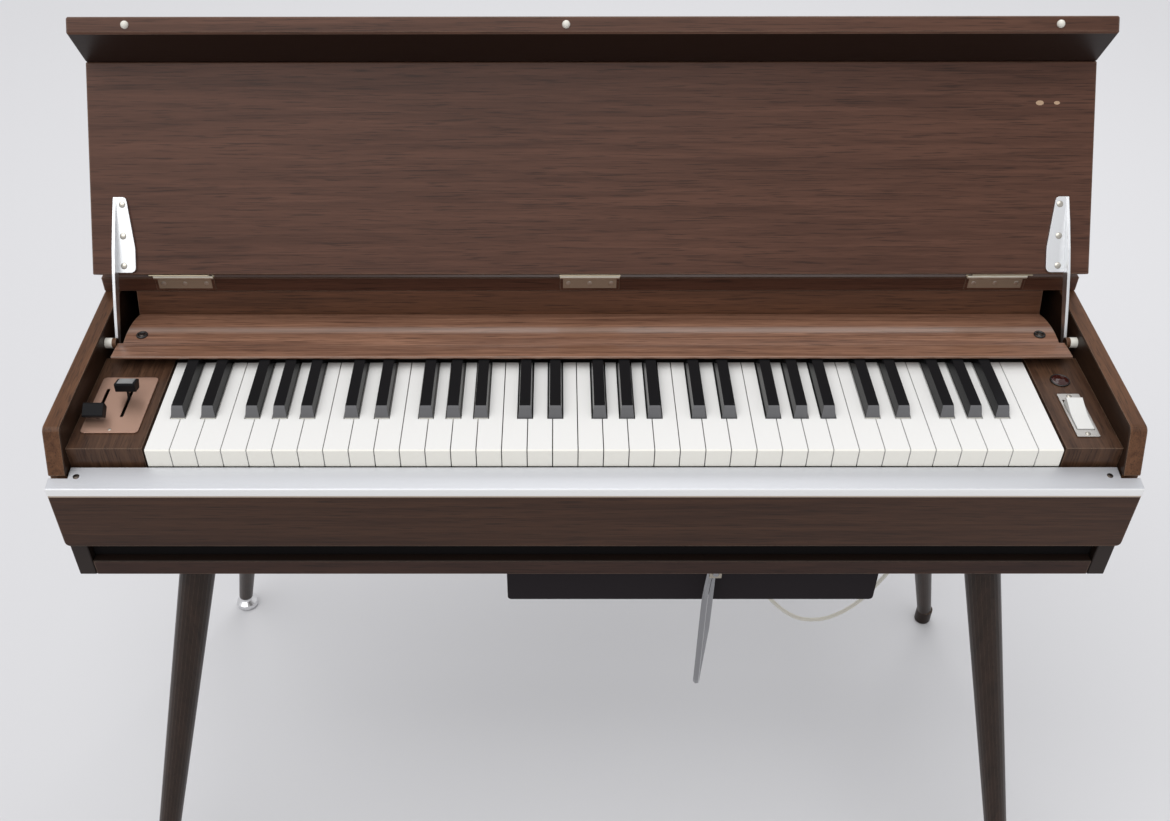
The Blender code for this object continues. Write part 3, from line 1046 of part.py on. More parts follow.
def build_under_box():
    """The dark unit slung under the bottom board, with its four feet and the gland for its cord."""
    left, right = UNDER_BOX_LEFT, UNDER_BOX_LEFT + UNDER_BOX_WIDTH
    front = yz(UNDER_BOX_FRONT_BACK, 0)[0]
    rear = front + UNDER_BOX_DEPTH
    top = CABINET_BOTTOM_Z - GAP
    bottom = top - UNDER_BOX_HEIGHT
    radius = UNDER_BOX_CORNER_RADIUS
    box = prism("under_box", rounded([(left, bottom, radius), (right, bottom, radius), (right, top), (left, top)], 3),
                "Y", front, rear, BLACK_COATING)
    inset = 0.0140
    for x in (left + inset, right - inset):
        for y in (front + inset, rear - inset):
            foot = turned("box_foot", [(0.0, 0.0), (UNDER_BOX_FOOT_RADIUS - 0.001, 0.0),
                                       (UNDER_BOX_FOOT_RADIUS, 0.001), (UNDER_BOX_FOOT_RADIUS, 0.008), (0.0, 0.008)],
                          BLACK_COATING, 12)
            foot.location = (x, y, bottom - UNDER_BOX_FOOT_HEIGHT)
            combine(box, foot, "UNION")
    add_gland(box, Vector((CORD_KNOTS[0][0], rear - 0.001, KEY_TOP_HEIGHT + CORD_KNOTS[0][2])), Vector((0, 1, 0)))


def add_gland(carrier, place, direction):
    """A short round gland on the piece that carries it, with its face one gap from the cord's end."""
    gland = turned("cord_gland", [(0.0, 0.0), (GLAND_RADIUS, 0.0), (GLAND_RADIUS, GLAND_LENGTH - 0.001),
                                  (GLAND_RADIUS - 0.001, GLAND_LENGTH + 0.001), (0.0, GLAND_LENGTH + 0.001)],
                   BLACK_COATING, 16)
    gland.matrix_world = Matrix.Translation(place) @ direction.to_track_quat("Z", "Y").to_matrix().to_4x4()
    combine(carrier, gland, "UNION")


def build_cord():
    """The cream cord that hangs in one loop from the slung unit to the bottom board."""
    knots = [Vector((x, *yz(back, up))) for x, back, up in CORD_KNOTS]
    tube("unit_cord", smooth_curve(knots, CORD_RADIUS * 4.4), CORD_RADIUS, CREAM_CABLE, 2)


def build_insides():
    """The oval loudspeaker behind the grille, and the chassis with its board and transformer."""
    baffle_rear = FRONT_PANEL_FRONT_BACK + FRONT_PANEL_THICKNESS + BAFFLE_THICKNESS + 2 * GAP
    speaker = turned("loudspeaker", [(0.0, 0.0), (1.0, 0.0), (1.0, 0.06), (0.88, 0.10), (0.52, 0.62),
                                     (0.52, 1.0), (0.0, 1.0)], STEEL, 32)
    middle_up = (INNER_BOTTOM_UP + BAFFLE_TOP_UP) / 2
    speaker.data.transform(Matrix.Rotation(-math.pi / 2, 4, "X")
                           @ Matrix.Diagonal((SPEAKER_WIDTH / 2, SPEAKER_HEIGHT / 2, SPEAKER_DEPTH, 1.0)))
    speaker.location = (SPEAKER_X, *yz(baffle_rear, middle_up))

    floor = KEY_TOP_HEIGHT + INNER_BOTTOM_UP + GAP
    y = yz(CHASSIS_BACK, 0)[0]
    left, right = CHASSIS_X - CHASSIS_WIDTH / 2, CHASSIS_X + CHASSIS_WIDTH / 2
    wall, height = CHASSIS_WALL, CHASSIS_HEIGHT
    tray = prism("amplifier_chassis", [
        (left, floor), (right, floor), (right, floor + height), (right - wall, floor + height),
        (right - wall, floor + wall), (left + wall, floor + wall), (left + wall, floor + height), (left, floor + height),
    ], "Y", y, y + CHASSIS_DEPTH, STEEL)
    core_right, core_front = right - TRANSFORMER_FROM_RIGHT, y + TRANSFORMER_FROM_FRONT
    transformer = block("transformer", (core_right - TRANSFORMER_SIZE, core_right),
                        (core_front, core_front + TRANSFORMER_SIZE),
                        (floor + wall / 2, floor + TRANSFORMER_HEIGHT), BLACK_COATING)
    margin, lift = CIRCUIT_BOARD_MARGIN, CIRCUIT_BOARD_LIFT
    board = block("circuit_board", (left + wall / 2, core_right - TRANSFORMER_SIZE - margin),
                  (y + margin, y + CHASSIS_DEPTH - margin), (floor + lift, floor + lift + CIRCUIT_BOARD_THICKNESS),
                  COPPER)
    combine(tray, transformer, "UNION")
    combine(tray, board, "UNION")


build_cheeks()
build_bottom_and_back()
build_front()
build_top_boards()
build_lid()
build_keyboard()
key_blocks, block_floor = build_key_blocks()
build_controls(key_blocks["left_key_block"], block_floor)
build_switch_and_lamp(key_blocks["right_key_block"], block_floor)
for leg_name in LEG_SPLAY:
    at_side = -1 if leg_name.endswith("left") else 1
    if "front" in leg_name:
        build_leg(leg_name, (at_side * (INNER_HALF - FRONT_LEG_FROM_CHEEK), FRONT_LEG_BACK))
    else:
        build_leg(leg_name, (at_side * (INNER_HALF - REAR_LEG_FROM_CHEEK), CABINET_DEPTH - REAR_LEG_FROM_REAR))
build_knee_lever()
build_under_box()
build_cord()
build_insides()
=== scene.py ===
import math
import bpy
from mathutils import Matrix, Vector


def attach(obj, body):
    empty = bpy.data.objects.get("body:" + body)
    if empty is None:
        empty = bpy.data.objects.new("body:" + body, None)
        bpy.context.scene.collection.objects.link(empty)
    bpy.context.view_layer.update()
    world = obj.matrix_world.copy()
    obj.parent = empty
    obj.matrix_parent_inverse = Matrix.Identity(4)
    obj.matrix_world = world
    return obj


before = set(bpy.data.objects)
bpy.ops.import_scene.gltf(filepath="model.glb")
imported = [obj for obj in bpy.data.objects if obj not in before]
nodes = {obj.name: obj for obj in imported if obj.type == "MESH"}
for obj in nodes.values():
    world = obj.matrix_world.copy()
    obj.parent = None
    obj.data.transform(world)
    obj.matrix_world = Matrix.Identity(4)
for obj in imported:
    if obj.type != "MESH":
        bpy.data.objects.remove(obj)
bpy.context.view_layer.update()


# Cheeks: the two ends of the cabinet, thick boards in walnut laminate whose arrises are rubbed pale.
# The other boards are fixed between them. Their feet in front, below the panel, are painted nearly black as
# shadow, and their inner faces are painted darker as the shade of the cabinet.
def new_node(tree, kind, values=None, **settings):
    """Add a shader node with its settings and the values of its inputs."""
    node = tree.nodes.new("ShaderNode" + kind)
    for setting, value in settings.items():
        setattr(node, setting, value)
    for socket, value in (values or {}).items():
        node.inputs[socket].default_value = value
    return node


def wire(tree, *pairs):
    """Link each pair of an output and an input."""
    for source, target in pairs:
        tree.links.new(source, target)


def dress(name, label, rough, specular):
    """Put a new finish on one solid, and return its node tree."""
    finish = bpy.data.materials.new(label)
    finish.use_nodes = True
    nodes[name].data.materials.clear()
    nodes[name].data.materials.append(finish)
    shader = finish.node_tree.nodes["Principled BSDF"]
    shader.inputs["Roughness"].default_value = rough
    shader.inputs["Specular IOR Level"].default_value = specular
    return finish.node_tree


def past(tree, reading, axis, level, sign):
    """Mask where a reading is over a level on an axis, or under it for sign -1.

    Position and True Normal are read in the room, and Normal is read in the piece's own axes.
    """
    source = new_node(tree, "TexCoord" if reading == "Normal" else "NewGeometry")
    split = new_node(tree, "SeparateXYZ")
    mask = new_node(tree, "Math", {1: level}, operation="GREATER_THAN" if sign > 0 else "LESS_THAN")
    wire(tree, (source.outputs[reading], split.inputs[0]), (split.outputs[axis], mask.inputs[0]))
    return mask.outputs[0]


def both(tree, first, second):
    """Mask of the places that two masks share."""
    shared = new_node(tree, "Math", operation="MULTIPLY")
    wire(tree, (first, shared.inputs[0]), (second, shared.inputs[1]))
    return shared.outputs[0]


def recolour(tree, mask, colour, share=1.0):
    """Turn the masked part of a finish towards a colour, by a share of 1 or less."""
    base = tree.nodes["Principled BSDF"].inputs["Base Color"]
    mix = new_node(tree, "Mix", {"A": base.default_value, "B": (*colour, 1)}, data_type="RGBA")
    amount = new_node(tree, "Math", {1: share}, operation="MULTIPLY")
    if base.links:
        wire(tree, (base.links[0].from_socket, mix.inputs["A"]))
    wire(tree, (mask, amount.inputs[0]), (amount.outputs[0], mix.inputs["Factor"]),
         (mix.outputs["Result"], base))


grain = bpy.data.node_groups.new("wood_grain", "ShaderNodeTree")
for label, kind in (("Light", "NodeSocketColor"), ("Dark", "NodeSocketColor"),
                    ("Stretch", "NodeSocketVector")):
    grain.interface.new_socket(label, in_out="INPUT", socket_type=kind)
for label, kind in (("Color", "NodeSocketColor"), ("Normal", "NodeSocketVector")):
    grain.interface.new_socket(label, in_out="OUTPUT", socket_type=kind)
given = grain.nodes.new("NodeGroupInput")
made = grain.nodes.new("NodeGroupOutput")
place = new_node(grain, "TexCoord")
drawn_out = new_node(grain, "VectorMath", operation="MULTIPLY")
bands = new_node(grain, "TexNoise", {"Scale": 1.0, "Detail": 6.0, "Distortion": 0.9})
lines = new_node(grain, "TexNoise", {"Scale": 6.0, "Detail": 3.0})
figure = new_node(grain, "Math", {1: 0.45}, operation="MULTIPLY_ADD")
contrast = new_node(grain, "MapRange", {"From Min": 0.42, "From Max": 1.02})
tone = new_node(grain, "Mix", data_type="RGBA")
finer = new_node(grain, "VectorMath", {1: (7.0, 7.0, 7.0)}, operation="MULTIPLY")
pores = new_node(grain, "TexNoise", {"Scale": 1.0, "Detail": 2.0})
pits = new_node(grain, "MapRange", {"From Min": 0.56, "From Max": 0.66, "To Max": 0.50})
pitted = new_node(grain, "Mix", {"B": (0.012, 0.007, 0.005, 1)}, data_type="RGBA")
softened = new_node(grain, "Bevel", {"Radius": 0.0011})
flat = new_node(grain, "NewGeometry")
turn = new_node(grain, "VectorMath", operation="DOT_PRODUCT")
arris = new_node(grain, "MapRange", {"From Min": 0.995, "From Max": 0.92})
patches = new_node(grain, "TexNoise", {"Scale": 55.0, "Detail": 4.0})
rubbed = new_node(grain, "Math", operation="MULTIPLY", use_clamp=True)
worn = new_node(grain, "Mix", {"B": (0.38, 0.27, 0.19, 1)}, data_type="RGBA")
relief = new_node(grain, "Bump", {"Strength": 0.10, "Distance": 0.0004})
wire(grain, (place.outputs["Object"], drawn_out.inputs[0]), (given.outputs["Stretch"], drawn_out.inputs[1]),
     (drawn_out.outputs[0], bands.inputs["Vector"]), (drawn_out.outputs[0], lines.inputs["Vector"]),
     (lines.outputs[0], figure.inputs[0]), (bands.outputs[0], figure.inputs[2]),
     (figure.outputs[0], contrast.inputs["Value"]), (contrast.outputs[0], tone.inputs["Factor"]),
     (given.outputs["Light"], tone.inputs["A"]), (given.outputs["Dark"], tone.inputs["B"]),
     (drawn_out.outputs[0], finer.inputs[0]), (finer.outputs[0], pores.inputs["Vector"]),
     (pores.outputs[0], pits.inputs["Value"]), (pits.outputs[0], pitted.inputs["Factor"]),
     (tone.outputs["Result"], pitted.inputs["A"]), (softened.outputs[0], turn.inputs[0]),
     (flat.outputs["Normal"], turn.inputs[1]), (turn.outputs["Value"], arris.inputs["Value"]),
     (arris.outputs[0], rubbed.inputs[0]), (patches.outputs[0], rubbed.inputs[1]),
     (rubbed.outputs[0], worn.inputs["Factor"]), (pitted.outputs["Result"], worn.inputs["A"]),
     (worn.outputs["Result"], made.inputs["Color"]), (softened.outputs[0], relief.inputs["Normal"]),
     (contrast.outputs[0], relief.inputs["Height"]), (relief.outputs[0], made.inputs["Normal"]))


def veneer(name, light, dark, stretch, rough, specular=0.20):
    """Walnut laminate on one board. Stretch is how fine the grain is along X, Y and Z."""
    tree = dress(name, name + "_wood", rough, specular)
    effect = new_node(tree, "Group", {"Light": (*light, 1), "Dark": (*dark, 1), "Stretch": stretch},
                      node_tree=grain)
    shader = tree.nodes["Principled BSDF"]
    wire(tree, (effect.outputs["Color"], shader.inputs["Base Color"]),
         (effect.outputs["Normal"], shader.inputs["Normal"]))
    return tree


black_tip_and_painted_shade = (0.022, 0.014, 0.011)
deep_shade = (0.012, 0.007, 0.005)
square_on = 0.7
foot_top = 0.6320
foot_back = -0.1500
for name, inward in (("left_cheek", 1), ("right_cheek", -1)):
    tree = veneer(name, (0.165, 0.076, 0.037), (0.070, 0.030, 0.015), (132, 7.8, 99), 0.40)
    # Painted shadow: the cheeks' feet, low and in front, are darkened nearly black.
    foot = both(tree, past(tree, "Position", "Z", foot_top, -1), past(tree, "Position", "Y", foot_back, -1))
    recolour(tree, foot, black_tip_and_painted_shade)
    # Painted shade: the inner faces are darkened towards deep_shade.
    inner_side = past(tree, "True Normal", "X", inward * square_on, inward)
    recolour(tree, inner_side, deep_shade, share=0.82)

# Bottom board, back panel and speaker cloth: dark boards housed between the cheeks close the cabinet, and
# black cloth covers the slot under the front panel. The strip of board before the cloth is in deep shade.
tree = veneer("bottom_board", (0.051, 0.024, 0.016), (0.026, 0.012, 0.009), (5.2, 88, 88), 0.55)
# Painted shade: the board's top faces are darkened towards deep_shade, so the strip before the cloth reads
# dark.
recolour(tree, past(tree, "True Normal", "Z", square_on, 1), deep_shade, share=0.90)
veneer("back_panel", (0.099, 0.055, 0.032), (0.057, 0.030, 0.018), (5.2, 66, 66), 0.65)


edge_softening = 0.0006


def moulded(name, colour, rough, metal=0.0, specular=0.5):
    """Metal, plastic or cloth finish on one solid, with faint wear in its gloss and softened edges."""
    tree = dress(name, name + "_finish", rough, specular)
    shader = tree.nodes["Principled BSDF"]
    shader.inputs["Base Color"].default_value = (*colour, 1)
    shader.inputs["Metallic"].default_value = metal
    wear = new_node(tree, "TexNoise", {"Scale": 90.0, "Detail": 5.0})
    spread = new_node(tree, "MapRange", {"To Min": rough * 0.75, "To Max": rough * 1.3})
    softened = new_node(tree, "Bevel", {"Radius": edge_softening})
    wire(tree, (wear.outputs[0], spread.inputs["Value"]), (spread.outputs[0], shader.inputs["Roughness"]),
         (softened.outputs[0], shader.inputs["Normal"]))
    return tree


moulded("speaker_grille", (0.010, 0.009, 0.009), 0.95, specular=0.06)

# Legs: four turned and tapered legs, stained nearly black, screwed to plates under the cabinet.
# Three of them end in bright chromed glides, and the rear right one ends in a black tip.
glide_top = 0.0188
chrome = (0.75, 0.75, 0.76)
for corner in ("front_left", "front_right", "rear_left", "rear_right"):
    tree = veneer("leg_" + corner, (0.037, 0.021, 0.015), (0.017, 0.011, 0.008), (88, 88, 7.8), 0.33)
    glide = past(tree, "Position", "Z", glide_top, -1)
    if corner == "rear_right":
        recolour(tree, glide, black_tip_and_painted_shade)
    else:
        recolour(tree, glide, chrome)
        wire(tree, (glide, tree.nodes["Principled BSDF"].inputs["Metallic"]))

# Slung unit and its cord: a black box hung under the cabinet, and a cream flex that leaves its back and
# goes up into the bottom board. The flex hangs in one loop between its two glands.
moulded("under_box", (0.020, 0.016, 0.018), 0.45, specular=0.06)
moulded("unit_cord", (0.74, 0.71, 0.62), 0.45)

# Loudspeaker and amplifier chassis: the working parts inside the cabinet, in bare and plated steel.
# The loudspeaker stands behind the speaker cloth, and the chassis lies on the bottom board.
moulded("loudspeaker", (0.25, 0.25, 0.25), 0.5, metal=1.0)
moulded("amplifier_chassis", (0.45, 0.44, 0.42), 0.5, metal=1.0)

# Keys: white keys moulded in ivory plastic with creamier fronts, and black keys whose noses are painted grey
# as a reflection.
# Each tilts at its tail on the frame. The outer keys are one solid with the steel frame, so its finish is
# black above the white keys' tops, ivory down to the frame, and steel below.
ivory = (0.89, 0.885, 0.86)
cream_front = (0.97, 0.95, 0.87)
ebony = (0.012, 0.012, 0.013)
painted_nose_reflection = (0.155, 0.155, 0.16)
frame_steel = (0.10, 0.09, 0.08)
key_specular = 0.10
white_top = 0.66505
frame_top = 0.6302
for name in nodes:
    if name.startswith("key_") and name not in ("key_slip", "key_frame"):
        if "s" in name[4:]:
            tree = moulded(name, ebony, 0.16, specular=key_specular)
            # Painted reflection: the black key's front faces are turned grey.
            recolour(tree, past(tree, "True Normal", "Y", -square_on, -1), painted_nose_reflection)
        else:
            tree = moulded(name, ivory, 0.22, specular=key_specular)
            recolour(tree, past(tree, "True Normal", "Y", -square_on, -1), cream_front)
tree = dress("key_frame", "keys_and_frame", 0.20, key_specular)
shader = tree.nodes["Principled BSDF"]
shader.inputs["Base Color"].default_value = (*ivory, 1)
front = past(tree, "True Normal", "Y", -square_on, -1)
raised = past(tree, "Position", "Z", white_top, 1)
recolour(tree, front, cream_front)
recolour(tree, raised, ebony)
# Painted reflection: the fronts of the black keys in the frame are turned grey.
recolour(tree, both(tree, raised, front), painted_nose_reflection)
recolour(tree, past(tree, "Position", "Z", frame_top, -1), frame_steel)
softened = new_node(tree, "Bevel", {"Radius": edge_softening})
wire(tree, (softened.outputs[0], shader.inputs["Normal"]))


# Key felt: a strip of black felt laid in the gap between the keys and the rail, under the rail's moulding.
# Its near-black also stands in for the shade in that gap, so from the player's side it reads as a black
# line.
def small_finish(name, colour, metal, rough, scale):
    """Finish of a small piece, whose colour and gloss vary a little over its surface."""
    finish = bpy.data.materials.new(name)
    finish.use_nodes = True
    tree = finish.node_tree
    shader = tree.nodes["Principled BSDF"]
    shader.inputs["Metallic"].default_value = metal
    mottle = new_node(tree, "TexNoise", {"Scale": scale, "Detail": 4.0})
    darker = (*(c * 0.82 for c in colour), 1)
    lighter = (*(min(c * 1.18, 1) for c in colour), 1)
    tint = new_node(tree, "Mix", {"A": darker, "B": lighter}, data_type="RGBA")
    spread = new_node(tree, "MapRange", {"To Min": rough * 0.75, "To Max": min(rough * 1.25, 1)})
    wire(tree, (mottle.outputs[0], tint.inputs["Factor"]), (mottle.outputs[0], spread.inputs["Value"]),
         (tint.outputs["Result"], shader.inputs["Base Color"]),
         (spread.outputs[0], shader.inputs["Roughness"]))
    return finish


def box_of(name):
    """Low and high corners of one solid's box in the room."""
    corners = [nodes[name].matrix_world @ Vector(corner) for corner in nodes[name].bound_box]
    low = Vector([min(corner[i] for corner in corners) for i in range(3)])
    high = Vector([max(corner[i] for corner in corners) for i in range(3)])
    return low, high


def slab(name, centre, size, finish, rotation=(0, 0, 0)):
    """A thin flat piece round its centre."""
    bpy.ops.mesh.primitive_cube_add(size=1, location=centre, rotation=rotation)
    piece = bpy.context.object
    piece.name = name
    piece.scale = size
    bpy.ops.object.transform_apply(location=False, rotation=False, scale=True)
    piece.data.materials.append(finish)
    return piece


# Painted shade: the felt is made near-black partly to stand for the shadow in the gap.
felt_dark = small_finish("felt_dark", (0.008, 0.008, 0.008), 0.0, 1.0, 500.0)
felt_left = box_of("left_key_block")[1].x + 0.0035
felt_right = box_of("right_key_block")[0].x - 0.0025
felt_y = -0.0085
felt_z = 0.6625
felt_depth = 0.0092
felt_thickness = 0.0038
felt_centre = ((felt_left + felt_right) / 2, felt_y, felt_z)
felt = slab("key_felt", felt_centre, (felt_right - felt_left, felt_depth, felt_thickness), felt_dark)
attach(felt, "cabinet")

# Key blocks: two blocks in walnut laminate, fitted between the keyboard and the cheeks, which carry the
# controls. Their grain runs from front to back, and down their front faces.
for name in ("left_key_block", "right_key_block"):
    veneer(name, (0.118, 0.061, 0.035), (0.040, 0.019, 0.012), (121, 8.5, 8.5), 0.33)


# Controls on the left block: a copper-coloured plate with two slots, and two black moulded levers on a shaft
# under it. The right lever's knob has a grey metal cap, and one small rivet holds the plate in front.
def dome(name, centre, facing, radius, finish, scale=(1, 1, 0.32), segments=20, rings=10, smooth=True):
    """A ball pressed flat along the way that it faces: the head of a screw, rivet or bumper, or a chip."""
    bpy.ops.mesh.primitive_uv_sphere_add(segments=segments, ring_count=rings, radius=radius, location=centre)
    piece = bpy.context.object
    piece.name = name
    piece.rotation_euler = Vector(facing).to_track_quat("Z", "Y").to_euler()
    piece.scale = scale
    if smooth:
        piece.data.shade_smooth()
    piece.data.materials.append(finish)
    bpy.context.view_layer.update()
    return piece


moulded("control_plate", (0.56, 0.35, 0.26), 0.36, metal=0.75)
for name in ("left_lever", "right_lever"):
    moulded(name, (0.010, 0.010, 0.011), 0.30, specular=0.06)
up = (0, 0, 1)
screw_metal = small_finish("screw_metal", (0.55, 0.52, 0.46), 1.0, 0.30, 260.0)
rivet_setback = 0.00425
low, high = box_of("control_plate")
rivet_centre = ((low.x + high.x) / 2, low.y + rivet_setback, high.z)
rivet = dome("plate_rivet", rivet_centre, up, radius=0.0016, finish=screw_metal)
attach(rivet, "cabinet")
cap_metal = small_finish("cap_metal", (0.42, 0.43, 0.43), 0.7, 0.4, 240.0)
lever_pivot = Vector((-0.4465, -0.0780, 0.6410))
lever_length = 0.0446
lever_tilt = math.radians(14)
cap_size = (0.0150, 0.0105, 0.0008)
cap_centre = lever_pivot + Vector((0, math.sin(lever_tilt), math.cos(lever_tilt))) * lever_length
cap = slab("right_lever_cap", cap_centre, cap_size, cap_metal, rotation=(-lever_tilt, 0, 0))
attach(cap, "right_lever")


# Switch and pilot lamp on the right block: a pale rocker in a bright metal plate held by two screws,
# and behind it a dark red lens in a black bezel.
def ring(name, centre, radius, thickness, finish, around, across):
    """A round ring lying flat."""
    bpy.ops.mesh.primitive_torus_add(location=centre, major_radius=radius, minor_radius=thickness,
                                     major_segments=around, minor_segments=across)
    piece = bpy.context.object
    piece.name = name
    piece.data.shade_smooth()
    piece.data.materials.append(finish)
    return piece


moulded("switch_plate", (0.62, 0.60, 0.57), 0.32, metal=1.0)
moulded("power_rocker", (0.80, 0.80, 0.77), 0.28)
moulded("pilot_lamp", (0.040, 0.008, 0.006), 0.12)
low, high = box_of("switch_plate")
screw_reach = 0.0274
screw_proud = 0.0001
for end, way in (("front", -1), ("rear", 1)):
    screw_centre = ((low.x + high.x) / 2, (low.y + high.y) / 2 + way * screw_reach, high.z + screw_proud)
    screw = dome("switch_screw_" + end, screw_centre, up, radius=0.0024, finish=screw_metal)
    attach(screw, "cabinet")
washer_black = small_finish("washer_black", (0.015, 0.013, 0.012), 0.0, 0.25, 300.0)
low, high = box_of("pilot_lamp")
bezel_z = 0.6658
bezel_gap = 0.0006
bezel_centre = ((low.x + high.x) / 2, (low.y + high.y) / 2, bezel_z)
bezel_radius = (high.x - low.x) / 2 + bezel_gap
bezel = ring("pilot_bezel", bezel_centre, bezel_radius, 0.0008, washer_black, around=40, across=8)
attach(bezel, "cabinet")

# Nameboard rail: a low crowned rail of polished walnut behind the keys, with a pale highlight painted along
# its crest.
# It is held by a dark screw in a black cup washer at each end.
tree = veneer("nameboard_rail", (0.360, 0.185, 0.115), (0.112, 0.050, 0.031), (4.42, 154, 154), 0.27,
              specular=0.50)
# Painted highlight: the colour turns paler in a soft band along the rail's crest.
crest_y = 0.0215
highlight_reach = 0.0085
place = new_node(tree, "TexCoord")
split = new_node(tree, "SeparateXYZ")
offset = new_node(tree, "Math", {1: crest_y}, operation="SUBTRACT")
distance = new_node(tree, "Math", operation="ABSOLUTE")
painted_highlight = new_node(tree, "MapRange", {"From Max": highlight_reach, "To Min": 0.30, "To Max": 0.0},
                 interpolation_type="SMOOTHSTEP")
wire(tree, (place.outputs["Object"], split.inputs[0]), (split.outputs["Y"], offset.inputs[0]),
     (offset.outputs[0], distance.inputs[0]), (distance.outputs[0], painted_highlight.inputs["Value"]))
recolour(tree, painted_highlight.outputs[0], (0.50, 0.42, 0.37))
screw_dark = small_finish("screw_dark", (0.09, 0.075, 0.065), 1.0, 0.30, 260.0)
rail_screw_x = 0.453
rail_screw_y = 0.013
rail_screw_z = 0.6800
washer_z = 0.6798
for label, side in (("left", -1), ("right", 1)):
    screw_centre = (side * rail_screw_x, rail_screw_y, rail_screw_z)
    screw = dome("rail_screw_" + label, screw_centre, up, radius=0.0030, finish=screw_dark)
    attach(screw, "cabinet")
    washer_centre = (side * rail_screw_x, rail_screw_y, washer_z)
    washer = ring("cup_washer_" + label, washer_centre, 0.0046, 0.0013, washer_black, around=32, across=10)
    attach(washer, "cabinet")

# Rail moulding: a thin walnut moulding glued to the rail's front edge, with an eased nose.
# It hangs over the rear ends of the keys and hides them.
low, high = box_of("nameboard_rail")
half_length = high.x - 0.0005
back = low.y + 0.0003
nose = low.y - 0.0208
eased = nose + 0.0008
underside = 0.6779
profile = ((nose, underside), (nose, 0.6796), (eased, 0.6803), (back, 0.6788), (back, underside))
corners = [(x, y, z) for x in (-half_length, half_length) for y, z in profile]
count = len(profile)
faces = [tuple(range(count)), tuple(range(2 * count - 1, count - 1, -1))]
faces += [(i, i + count, (i + 1) % count + count, (i + 1) % count) for i in range(count)]
moulding_mesh = bpy.data.meshes.new("rail_moulding")
moulding_mesh.from_pydata(corners, [], faces)
moulding = bpy.data.objects.new("rail_moulding", moulding_mesh)
bpy.context.collection.objects.link(moulding)
moulding.data.materials.append(nodes["nameboard_rail"].data.materials[0])
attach(moulding, "cabinet")

# Riser and rear top board: laminated boards fixed behind the rail. The rear board's front edge carries the
# fixed leaves of three brass hinges, each with three countersunk screws and a bright knuckle above.
veneer("riser_board", (0.161, 0.068, 0.036), (0.074, 0.032, 0.017), (4.42, 132, 132), 0.40)
veneer("rear_top_board", (0.128, 0.054, 0.032), (0.060, 0.024, 0.015), (4.16, 132, 132), 0.38)
aged = small_finish("aged_brass", (0.40, 0.32, 0.24), 0.8, 0.5, 320.0)
polished = small_finish("polished_brass", (0.92, 0.86, 0.74), 1.0, 0.45, 200.0)
hinge_axis = Vector((0, 0.0685, 0.7131))
lying = (0, math.pi / 2, 0)
leaf_z = 0.7045
plate_y = 0.0689
plate_size = (0.055, 0.0006, 0.0118)
screw_y = 0.0687
screw_spacing = 0.022
for h, label in enumerate(("left", "middle", "right")):
    moulded("hinge_leaf_" + label, (0.50, 0.42, 0.30), 0.34, metal=1.0)
    low, high = box_of("hinge_leaf_" + label)
    centre = (low.x + high.x) / 2
    leaf = slab(f"hinge_plate_{h}", (centre, plate_y, leaf_z), plate_size, aged)
    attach(leaf, "cabinet")
    bpy.ops.mesh.primitive_cylinder_add(vertices=24, radius=0.00265, depth=0.0612, rotation=lying,
                                        location=(centre, *hinge_axis.yz))
    knuckle = bpy.context.object
    knuckle.name = f"hinge_knuckle_{h}"
    knuckle.data.materials.append(polished)
    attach(knuckle, "cabinet")
    for k in range(3):
        screw_centre = (centre + (k - 1) * screw_spacing, screw_y, leaf_z)
        screw = dome(f"hinge_screw_{h}_{k}", screw_centre, (0, -1, 0), radius=0.0026, finish=screw_metal,
                     scale=(1, 1, 0.12))
        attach(screw, "cabinet")

# Lid: a walnut panel on the three hinges, with a lip joined along its front edge at an angle. The lip's
# inner side is painted darker as shade, three cream bumpers sit in its edge, and the laminate has two small
# chips.
veneer("lid_panel", (0.125, 0.056, 0.036), (0.057, 0.024, 0.015), (4.16, 121, 121), 0.36)
tree = veneer("lid_lip", (0.133, 0.061, 0.039), (0.065, 0.028, 0.017), (4.16, 132, 132), 0.36)
inner_lip_facing = -0.2
# Painted shade: the lip's inner side, facing down, is darkened nearly black.
recolour(tree, past(tree, "Normal", "Z", inner_lip_facing, -1), (0.020, 0.010, 0.007))
lean = math.radians(124.8)
lid_along = Vector((0, -math.cos(lean), math.sin(lean)))
lid_out = Vector((0, -math.sin(lean), -math.cos(lean)))
inner_face = 0.0192
chip_pale = small_finish("chip_pale", (0.50, 0.34, 0.22), 0.0, 0.8, 700.0)
chips_along = 0.1715
for k, (x, size) in enumerate(((0.4480, 0.0040), (0.4650, 0.0030))):
    spot = hinge_axis + lid_along * chips_along + lid_out * inner_face + Vector((x, 0, 0))
    chip = dome(f"lid_chip_{k}", spot, lid_out, size, chip_pale, scale=(1.0, 0.6, 0.06),
                segments=14, rings=8, smooth=False)
    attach(chip, "lid")
cream = small_finish("cream_nylon", (0.80, 0.78, 0.70), 0.0, 0.35, 180.0)
lip_turn = math.radians(20.5)
lip_width = 0.0508
lip_half_thickness = 0.00825
panel_reach = 0.2120
panel_top_drop = 0.0023
panel_thickness = 0.0168
closed_y = -panel_reach - math.sin(lip_turn) * lip_width - lip_half_thickness
closed_z = -panel_top_drop - panel_thickness - math.cos(lip_turn) * lip_width
for k, x in enumerate((-0.447, -0.025, 0.447)):
    spot = (x, hinge_axis.y + closed_y * math.cos(lean) + closed_z * math.sin(lean),
            hinge_axis.z - closed_y * math.sin(lean) + closed_z * math.cos(lean))
    bumper = dome(f"lip_bumper_{k}", spot, up, radius=0.0039, finish=cream, scale=(1, 1, 1), rings=12)
    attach(bumper, "lid")

